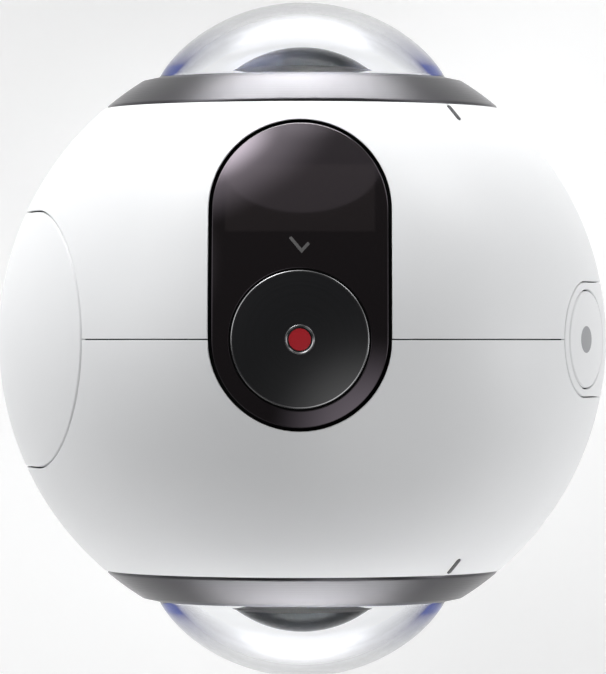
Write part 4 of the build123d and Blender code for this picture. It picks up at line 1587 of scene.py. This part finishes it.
@dataclass
class TopPanel(Assembly):
    """Display window, record button and its mark."""

    window_edge: float = 0.09
    window_lean: float = 0.2
    window_spacing: float = 0.8
    button_edge: float = 0.02
    button_spacing: float = 0.6
    mark_edge: float = 0.03
    mark_spacing: float = 0.2
    tick_middle: Point = (8.93, 0.0)
    tick_size: float = 1.35
    tick_width: float = 0.3
    tick_shares: tuple[Point, ...] = ((0.1, 0.62), (-0.45, 0.12), (0.5, -0.68))
    cap_radius: float = 6.55
    cap_round: float = 0.21
    cap_steps: int = 8
    cap_gap: float = 0.005
    cap_rise: float = 0.004
    cap_skirt: float = 0.05
    cap_sides: int = 160
    dimple_inner: float = 1.2
    dimple_outer: float = 1.39
    dimple_rise: float = 0.075
    dimple_sink: float = 0.03
    dimple_wall: float = 0.02
    dimple_land: Point = (0.05, 0.09)
    dimple_foot: float = 0.005
    dimple_sides: int = 96

    def build(self) -> None:
        """Builds the panel, the button and the printed tick."""
        window = BallSkin((0, self.window_lean, 1), self.window_edge, self.window_edge, self.window_spacing)
        cap = BallSkin((0, 0, 1), self.button_edge, self.button_edge, self.button_spacing)
        mark = BallSkin((0, 0, 1), self.mark_edge, self.mark_edge, self.mark_spacing)
        self.reskin("top_window", window, "body", "black_gloss", PANEL)
        self.reskin("record_button_cap", cap, "record_button", "dark_satin", DARK_SATIN)
        self.reskin("record_mark", mark, "record_button", "red", RED_PAINT)
        spots = [tuple(middle + self.tick_size * share for middle, share in zip(self.tick_middle, shares))
                 for shares in self.tick_shares]
        tick = BallMark(Side.TOP, [stroke(spots, self.tick_width)])
        self.add("window_tick_print", tick.build("window_tick_print"), "body", "black_gloss", GREY_PRINT)
        for name, body in (("record_cap_edge", self._cap_edge()), ("record_mark_edge", self._mark_edge())):
            self.add(name, body.build(name), "record_button", "dark_satin", POLISHED_EDGE)

    def _cap_edge(self) -> TurnedBody:
        """Shapes the polished round along the rim of the record button.

        Returns:
            The turned round.
        """
        foot, outer = self.cap_radius - self.cap_round, self.cap_radius - self.cap_gap
        rim = BALL_HEIGHT + ball_depth(foot) + self.cap_rise
        under = rim - self.cap_round - self.cap_skirt
        turns = [math.radians(90 * k / self.cap_steps) for k in range(self.cap_steps, -1, -1)]
        rounded = [(foot + (outer - foot) * math.sin(turn), rim - self.cap_round * (1 - math.cos(turn)))
                   for turn in turns]
        return TurnedBody([(foot, under), (outer, under), *rounded], Turn.UP, self.cap_sides, 0.0)

    def _mark_edge(self) -> TurnedBody:
        """Shapes the polished slope that falls towards the red mark.

        Returns:
            The turned slope.
        """
        inner, outer = self.dimple_inner, self.dimple_outer
        level = BALL_HEIGHT + ball_depth(inner)
        under, top = level - self.dimple_sink, level + self.dimple_rise
        land = [(outer - step, top) for step in self.dimple_land]
        outline = [(inner, under), (outer, under), (outer, level + self.dimple_wall), *land,
                   (inner, level + self.dimple_foot)]
        return TurnedBody(outline, Turn.UP, self.dimple_sides, 0.0)


@dataclass
class SideKeys(Assembly):
    """Key plate, its two round keys and their printed marks."""

    plate_edge: float = 0.1
    plate_spacing: float = 0.7
    key_edge: float = 0.02
    key_spacing: float = 0.5
    key_height: float = 10.45
    dot_radius: float = 1.3
    dot_offset: float = 1.25
    dot_inner_points: int = 12

    def build(self) -> None:
        """Builds the plate, the keys and the marks."""
        plate = BallSkin((1, 0, 0), self.plate_edge, self.plate_edge, self.plate_spacing)
        self.reskin("side_key_plate", plate, "body", "white", WHITE_SKIN)
        for body, height in (("menu_button", self.key_height), ("power_button", -self.key_height)):
            key = BallSkin((ball_depth(height), 0, height), self.key_edge, self.key_edge, self.key_spacing)
            self.reskin(body + "_cap", key, body, "white", WHITE_SKIN)
        height = self.key_height + self.dot_offset
        inner = [(height, 0.0), *disc(height, 0, self.dot_radius / 2, self.dot_inner_points)]
        dot = BallMark(Side.KEYS, [disc(height, 0, self.dot_radius)], inner)
        self.add("menu_dot_print", dot.build("menu_dot_print"), "menu_button", "white", KEY_PRINT)
        bars = KeyBars(key_height=-self.key_height).build("power_bars_print", self.book.material(KEY_PRINT))
        self.add("power_bars_print", bars, "power_button", "white", KEY_PRINT)


@dataclass
class Screws(Assembly):
    """Screws that hold the half shells and the main board."""

    circle: float = 17.6
    turns_deg: tuple[float, ...] = (125.0, 218.0, 322.0, 40.0)
    shell_tip: float = 14.702
    board_tip: float = 1.6
    board_places: tuple[Point, ...] = ((10.2, 15.0), (16.2, 1.0))

    def build(self) -> None:
        """Builds both sets of screws."""
        tips, ways = [], []
        for turn in map(math.radians, self.turns_deg):
            x, z = self.circle * math.cos(turn), self.circle * math.sin(turn)
            for side in (-1, 1):
                tips.append((x, side * self.shell_tip, BALL_HEIGHT + z))
                ways.append((0.0, float(side), 0.0))
        self._set("frame_screws", tips, ways)
        tips = [(x, self.board_tip, BALL_HEIGHT + z) for x, z in self.board_places]
        self._set("board_screws", tips, [(0.0, 1.0, 0.0)] * len(tips))

    def _set(self, node: str, tips: list[Place], ways: list[Place]) -> None:
        """Adds one set of screws that stands for a node."""
        mesh = ScrewSet(tips, ways).build(node + "_grown", self.book.material(STEEL))
        self.add(node + "_grown", mesh, "body", "steel", STEEL, [node])


@dataclass
class Door(Assembly):
    """Battery door."""

    edge: float = 0.12
    spacing: float = 0.9

    def build(self) -> None:
        """Builds the door's rounded skin."""
        skin = BallSkin((-1, 0, 0), self.edge, self.edge, self.spacing)
        self.reskin("battery_door", skin, "door", "white", WHITE_SKIN)


@dataclass
class LensUnit(Assembly):
    """Ring, dome, baffle, barrel and glass of one lens."""

    side: str
    ring_radius: float = 19.25
    slope_width: float = 3.45
    flat_width: float = 1.4
    ring_rise: float = 0.3
    slope_points: int = 15
    lip_wall: float = 1.1
    seat_wall: float = 1.5
    seal_wall: float = 0.6
    flange_wall: float = 1.1
    stack_gap: float = 0.1
    dome_rise: float = 7.55
    dome_overhang: float = 3.6
    dome_wall: float = 1.2
    dome_gap: float = 0.2
    dome_points: int = 64
    dome_corner: float = 0.08
    skirt_slope: float = 1.4
    pinch_power: int = 4
    baffle_rises: tuple[float, ...] = (1.6, 0.4, 0.4)
    glass_gap: float = 3.15
    glass_radius: float = 6.9
    glass_curve: float = 11.4
    glass_points: int = 40
    glass_middle: float = 1.2
    hollow_curve: float = 6.5
    hollow_points: int = 36
    brim_drop: float = 2.8
    brim_slope: float = 0.55
    glass_seat_drop: float = 0.6
    glass_seat_radius: float = 6.95
    glass_hole_radius: float = 5.0
    barrel_radius: float = 8.25
    barrel_gap: float = 0.1
    collar_radius: float = 9.2
    collar_wall: float = 1.4
    waist_radius: float = 6.6
    waist_depth: float = 12.0
    foot_radius: float = 7.6
    foot_depth: float = 10.5
    foot_hole_radius: float = 5.7
    ring_edge: float = 0.14
    black_edge: float = 0.06
    segments: int = 192

    def build(self) -> None:
        """Builds the turned pieces of the lens."""
        shoulder = self.ring_radius - self.slope_width
        bore = shoulder - self.flat_width
        ring_top = ball_depth(shoulder) + self.ring_rise
        dome_top = ring_top - self.lip_wall - self.stack_gap
        foot = dome_top - self.flange_wall
        baffle_top = foot - self.seal_wall
        seat = baffle_top - self.seat_wall
        skirt, flange = bore - self.dome_gap, shoulder - self.dome_gap
        apex = ring_top + self.dome_rise
        glass_apex = apex - self.dome_wall - self.glass_gap
        ring = self._ring(shoulder, bore, ring_top, flange, seat)
        dome = self._dome(apex, skirt, flange, foot, dome_top)
        baffle = self._baffle(skirt, flange, seat, baffle_top)
        barrel = self._barrel(glass_apex, seat)
        self._turned("lens_ring", ring, "ring_metal", SATIN_RING, self.ring_edge)
        self._turned("dome", dome, "clear_dome", DOME, 0.0)
        self._turned("baffle", baffle, "black_matte", BLACK_FLOCK, self.black_edge)
        self._turned("lens_glass", self._glass(glass_apex), "lens_glass", LENS, 0.0)
        self._turned("lens_barrel", barrel, "black_matte", BLACK_BARREL, self.black_edge)

    def _turned(self, piece: str, outline: list[Point], slot: str, finish: Finish, bevel: float) -> None:
        """Adds one turned piece that stands for the node of the same name.

        Args:
            piece: The node's name after the lens's side.
            outline: The piece's radius and depth from the ball's middle.
            slot: Its slot.
            finish: Its finish.
            bevel: How far its corners are rounded.
        """
        node = f"{self.side}_{piece}"
        turned = TurnedBody(outline, Turn[self.side.upper()], self.segments, bevel)
        self.add(node + "_turned", turned.build(node + "_turned"), "body", slot, finish, [node])

    def _ring(self, shoulder: float, bore: float, top: float, flange: float, seat: float) -> list[Point]:
        """Outline of the metal ring.

        Args:
            shoulder: Radius where its slope meets its flat top.
            bore: Radius of its opening.
            top: Depth of its flat top.
            flange: Radius of the dome's flange.
            seat: Depth of the floor that it stands on.

        Returns:
            The outline.
        """
        outer = self.ring_radius
        slope = arc(0, BALL_RADIUS, (outer, ball_depth(outer)), (shoulder, ball_depth(shoulder)),
                    self.slope_points)
        inner, lip = flange + self.stack_gap, top - self.lip_wall
        return [(inner, seat), (outer, seat), *slope, (bore, top), (bore, lip), (inner, lip)]

    def _dome(self, apex: float, skirt: float, flange: float, foot: float, top: float) -> list[Point]:
        """Outline of the clear dome, its wall of one thickness all over.

        Args:
            apex: Depth of its outer apex.
            skirt: Radius of its skirt.
            flange: Radius of its flange.
            foot: Depth of the flange's underside.
            top: Depth of the flange's top.

        Returns:
            The outline.
        """
        radius = skirt + self.dome_overhang
        middle = apex - radius
        hollow = skirt - self.dome_wall
        rim = apex - self.dome_rise
        start = (math.sqrt(radius**2 - (rim - middle) ** 2), rim)
        ball = arc(middle, radius, start, (0, apex), self.dome_points)
        pinch = 1 - skirt / ball[0][0]
        outside = [(r * (1 - pinch * ((apex - depth) / self.dome_rise) ** self.pinch_power), depth)
                   for r, depth in ball]
        outside[-1] = (0.0, apex)
        inside = [(0.0, apex - self.dome_wall)]
        for before, here, after in zip(outside[-1:0:-1], outside[-2:0:-1], outside[-3::-1]):
            run = (Vector(after) - Vector(before)).normalized()
            spot = Vector(here) + Vector((run.y, -run.x)) * self.dome_wall
            if spot.x < hollow:
                inside.append((spot.x, spot.y))
        last_radius, last_depth = inside[-1]
        inside.append((hollow, last_depth - (hollow - last_radius) * self.skirt_slope))
        corner = soften([(flange, foot), (flange, top), (skirt, top)], self.dome_corner)
        return [*inside, (hollow, foot), *corner, *outside]

    def _baffle(self, skirt: float, flange: float, seat: float, top: float) -> list[Point]:
        """Outline of the stepped black baffle.

        Args:
            skirt: Radius of the dome's skirt.
            flange: Radius of the dome's flange.
            seat: Depth of the floor that it stands on.
            top: Depth of its rim.

        Returns:
            The outline.
        """
        hole = self.barrel_radius + self.barrel_gap
        radius = skirt - self.dome_wall - self.dome_gap
        width = (radius - hole) / len(self.baffle_rises)
        points = [(hole, seat), (flange, seat), (flange, top)]
        depth = top
        for rise in self.baffle_rises:
            points += [(radius, depth), (radius, depth + rise)]
            depth += rise
            radius -= width
        return [*points, (hole, depth)]

    def _glass(self, apex: float) -> list[Point]:
        """Outline of the front glass, hollow behind.

        Args:
            apex: Depth of its apex.

        Returns:
            The outline.
        """
        radius, curve, hollow = self.glass_radius, self.glass_curve, self.hollow_curve
        seat = apex - self.brim_drop - self.glass_seat_drop
        middle = apex - curve
        inner_apex = apex - self.glass_middle
        inner_middle = inner_apex - hollow
        mouth = math.sqrt(hollow**2 - (seat - inner_middle) ** 2)
        rim = (radius, middle + math.sqrt(curve**2 - radius**2))
        outside = arc(middle, curve, rim, (0, apex), self.glass_points)
        inside = arc(inner_middle, hollow, (0, inner_apex), (mouth, seat), self.hollow_points)
        outside[-1] = (0.0, apex)
        inside[0] = (0.0, inner_apex)
        return [*inside, (radius, seat), *outside]

    def _barrel(self, apex: float, seat: float) -> list[Point]:
        """Outline of the lens barrel with its brim.

        Args:
            apex: Depth of the glass's apex.
            seat: Depth of the floor that the baffle stands on.

        Returns:
            The outline.
        """
        brim, waist, foot = apex - self.brim_drop, self.waist_depth, self.foot_depth
        glass_seat, under = brim - self.glass_seat_drop, seat - self.collar_wall
        return [(self.glass_seat_radius, brim + self.brim_slope), (self.barrel_radius, brim),
                (self.barrel_radius, seat), (self.collar_radius, seat), (self.collar_radius, under),
                (self.waist_radius, under), (self.waist_radius, waist), (self.foot_radius, waist),
                (self.foot_radius, foot), (self.foot_hole_radius, foot), (self.foot_hole_radius, waist),
                (self.glass_hole_radius, waist), (self.glass_hole_radius, glass_seat),
                (self.glass_seat_radius, glass_seat)]


@dataclass(frozen=True)
class Glow:
    """One soft light of the surround, with its place, its full and its outer reach in degrees."""

    turn: float
    height: float
    core: float
    reach: float
    strength: float
    colour: Colour = (1.0, 1.0, 1.0)

    def direction(self) -> Place:
        """Direction of its middle, turned from the rear lens towards the keys and raised from the floor.

        Returns:
            The direction's unit vector.
        """
        turn, height = math.radians(self.turn), math.radians(self.height)
        return (math.sin(turn) * math.cos(height), math.cos(turn) * math.cos(height), math.sin(height))


@dataclass(frozen=True)
class Wash:
    """Lamp that hangs past a lens and lights only the floor there, for the ring's middle to mirror."""

    name: str
    reach: float
    power: float
    height: float = 0.25
    spread_deg: float = 30.0
    size: Point = (0.02, 0.02)


@dataclass
class Studio:
    """Floor, soft lights of the surround and the camera at the photograph's angle.

    The step that the ball stands on is measured in millimetres, like the ball itself.
    """

    floor_half: float = 1.4
    step_radius: float = 12.0
    step_height: float = 10.0
    step_round: float = 0.4
    step_sides: int = 96
    floor_tone: float = 0.76
    floor_glow: float = 0.41
    tilt_deg: float = 0.45
    distance: float = 0.540
    lens: float = 291.4
    sensor: float = 36.0
    shift_x: float = 0.7 / PHOTO_HEIGHT
    shift_y: float = 2.5 / PHOTO_HEIGHT
    nearest: float = 0.01
    farthest: float = 10.0
    surround: float = 0.1
    washes: tuple[Wash, ...] = (Wash("rear_wash", 0.15, 0.83), Wash("front_wash", -0.15, 0.52))
    glows: tuple[Glow, ...] = (
        Glow(-25, 2, 6, 20, 12.0),
        Glow(-25, 2, 12, 36, 3.0),
        Glow(0, 18, 23.3, 24.3, 0.35),
        Glow(0, -2, 2, 14, 1.2),
        Glow(40, 3, 6, 22, 5.0),
        Glow(145, 50, 4, 34, 2.5),
        Glow(-70, 24, 6, 32, 2.5),
        Glow(86, 8, 8, 32, 1.7),
        Glow(95, 1, 3, 12, 4.0),
        Glow(180, -2, 2, 14, 0.8),
        Glow(-140, 8, 8, 30, 0.4),
    )

    def build(self) -> None:
        """Builds the floor, the lights and the camera."""
        self._floor()
        self._world()
        for wash in self.washes:
            self._wash(wash)
        self._camera()
        bpy.context.scene.view_settings.view_transform = "Standard"

    def _floor(self) -> None:
        """Adds the pale floor, with a round step under the base that leaves room for the open door."""
        half, drop = self.floor_half / MM, -self.step_height
        points = [(-half, -half, drop), (half, -half, drop), (half, half, drop), (-half, half, drop)]
        faces = [(0, 1, 2, 3)]
        count = self.step_sides
        turns = [math.tau * k / count for k in range(count)]
        for radius, height in ((self.step_radius, drop), (self.step_radius, -self.step_round),
                               (self.step_radius - self.step_round, 0.0)):
            points += [(radius * math.cos(turn), radius * math.sin(turn), height) for turn in turns]
        for row in (4, 4 + count):
            faces += [(row + k, row + (k + 1) % count, row + count + (k + 1) % count, row + count + k)
                      for k in range(count)]
        faces.append(tuple(4 + 2 * count + k for k in range(count)))
        mesh = mesh_from("floor", np.array(points), faces)
        floor = bpy.data.objects.new("floor", mesh)
        bpy.context.scene.collection.objects.link(floor)
        tone = (self.floor_tone,) * 3
        paper = Moulded("floor_paper", tone, 0.004, 0.9, 0.02, 400, 0.00001, 0.05, glow=self.floor_glow)
        mesh.materials.append(paper.build())

    @staticmethod
    def _wash(wash: Wash) -> None:
        """Hangs one lamp that points straight down.

        Args:
            wash: The lamp.
        """
        light = bpy.data.lights.new(wash.name, "AREA")
        light.shape = "RECTANGLE"
        light.size, light.size_y = wash.size
        light.energy = wash.power
        light.spread = math.radians(wash.spread_deg)
        lamp = bpy.data.objects.new(wash.name, light)
        bpy.context.scene.collection.objects.link(lamp)
        lamp.location = (0.0, wash.reach, wash.height)

    def _world(self) -> None:
        """Sets the surround: dark overhead, with soft lights low round the ball."""
        world = bpy.data.worlds.new("surround")
        world.use_nodes = True
        tree = world.node_tree
        way = tree.nodes.new("ShaderNodeTexCoord").outputs["Generated"]
        total = None
        for glow in self.glows:
            light = self._glow(tree, way, glow)
            if total is None:
                total = light
                continue
            both = tree.nodes.new("ShaderNodeVectorMath")
            tree.links.new(total, both.inputs[0])
            tree.links.new(light, both.inputs[1])
            total = both.outputs[0]
        base = tree.nodes.new("ShaderNodeVectorMath")
        tree.links.new(total, base.inputs[0])
        base.inputs[1].default_value = (self.surround,) * 3
        shade = tree.nodes["Background"]
        tree.links.new(base.outputs[0], shade.inputs["Color"])
        shade.inputs["Strength"].default_value = 1.0
        bpy.context.scene.world = world

    @staticmethod
    def _glow(tree: bpy.types.NodeTree, way: Socket, glow: Glow) -> Socket:
        """Adds one soft light to the surround.

        Args:
            tree: The surround's nodes.
            way: The direction looked in.
            glow: The light.

        Returns:
            Its colour and strength in that direction.
        """
        toward = tree.nodes.new("ShaderNodeVectorMath")
        toward.operation = "DOT_PRODUCT"
        tree.links.new(way, toward.inputs[0])
        toward.inputs[1].default_value = glow.direction()
        angle = tree.nodes.new("ShaderNodeMath")
        angle.operation = "ARCCOSINE"
        tree.links.new(toward.outputs["Value"], angle.inputs[0])
        fade = tree.nodes.new("ShaderNodeMapRange")
        fade.interpolation_type = "SMOOTHSTEP"
        tree.links.new(angle.outputs[0], fade.inputs["Value"])
        for key, number in (("From Min", math.radians(glow.core)), ("From Max", math.radians(glow.reach)),
                            ("To Min", glow.strength), ("To Max", 0.0)):
            fade.inputs[key].default_value = number
        light = tree.nodes.new("ShaderNodeVectorMath")
        light.operation = "SCALE"
        light.inputs[0].default_value = glow.colour
        tree.links.new(fade.outputs["Result"], light.inputs["Scale"])
        return light.outputs[0]

    def _camera(self) -> None:
        """Sets the camera straight above the ball, a little towards the keys."""
        data = bpy.data.cameras.new("camera")
        data.sensor_fit = "AUTO"
        data.sensor_width = self.sensor
        data.lens = self.lens
        data.shift_x, data.shift_y = self.shift_x, self.shift_y
        data.clip_start, data.clip_end = self.nearest, self.farthest
        camera = bpy.data.objects.new("camera", data)
        bpy.context.scene.collection.objects.link(camera)
        tilt = math.radians(self.tilt_deg)
        back = Vector((math.sin(tilt), 0, math.cos(tilt)))
        right = Vector((math.cos(tilt), 0, -math.sin(tilt)))
        up = Vector((0, 1, 0))
        turn = Matrix((right, up, back)).transposed().to_4x4()
        place = Vector((0, 0, BALL_HEIGHT * MM)) + back * self.distance
        camera.matrix_world = Matrix.Translation(place) @ turn
        bpy.context.scene.camera = camera


def dress_nodes(frame: dict, book: FinishBook) -> None:
    """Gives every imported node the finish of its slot.

    Args:
        frame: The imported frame.
        book: The finishes.
    """
    dressed: set[str] = set()
    for name, node in frame["nodes"].items():
        for material_slot in node.material_slots:
            wanted = material_slot.material.name.split(".")[0] if material_slot.material else ""
            finish = SLOT_FINISHES.get(wanted)
            if finish is None:
                LOG.info("node %s has the unknown slot %s", name, wanted)
                continue
            if wanted == "lens_glass" and "inner" in name:
                finish = INNER_LENS
            material_slot.material = book.material(finish)
            dressed.add(name)
    LOG.info("dressed %d nodes", len(dressed))


def main() -> None:
    """Builds the whole scene."""
    logging.basicConfig(level=logging.INFO, format="%(name)s: %(message)s")
    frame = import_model()
    book = FinishBook()
    dress_nodes(frame, book)
    assemblies: list[Assembly] = [
        Housing(frame, book), TopPanel(frame, book), SideKeys(frame, book), Door(frame, book),
        LensUnit(frame, book, "front"), LensUnit(frame, book, "rear"), Screws(frame, book)]
    for assembly in assemblies:
        assembly.build()
    Studio().build()


if __name__ == "__main__":
    main()
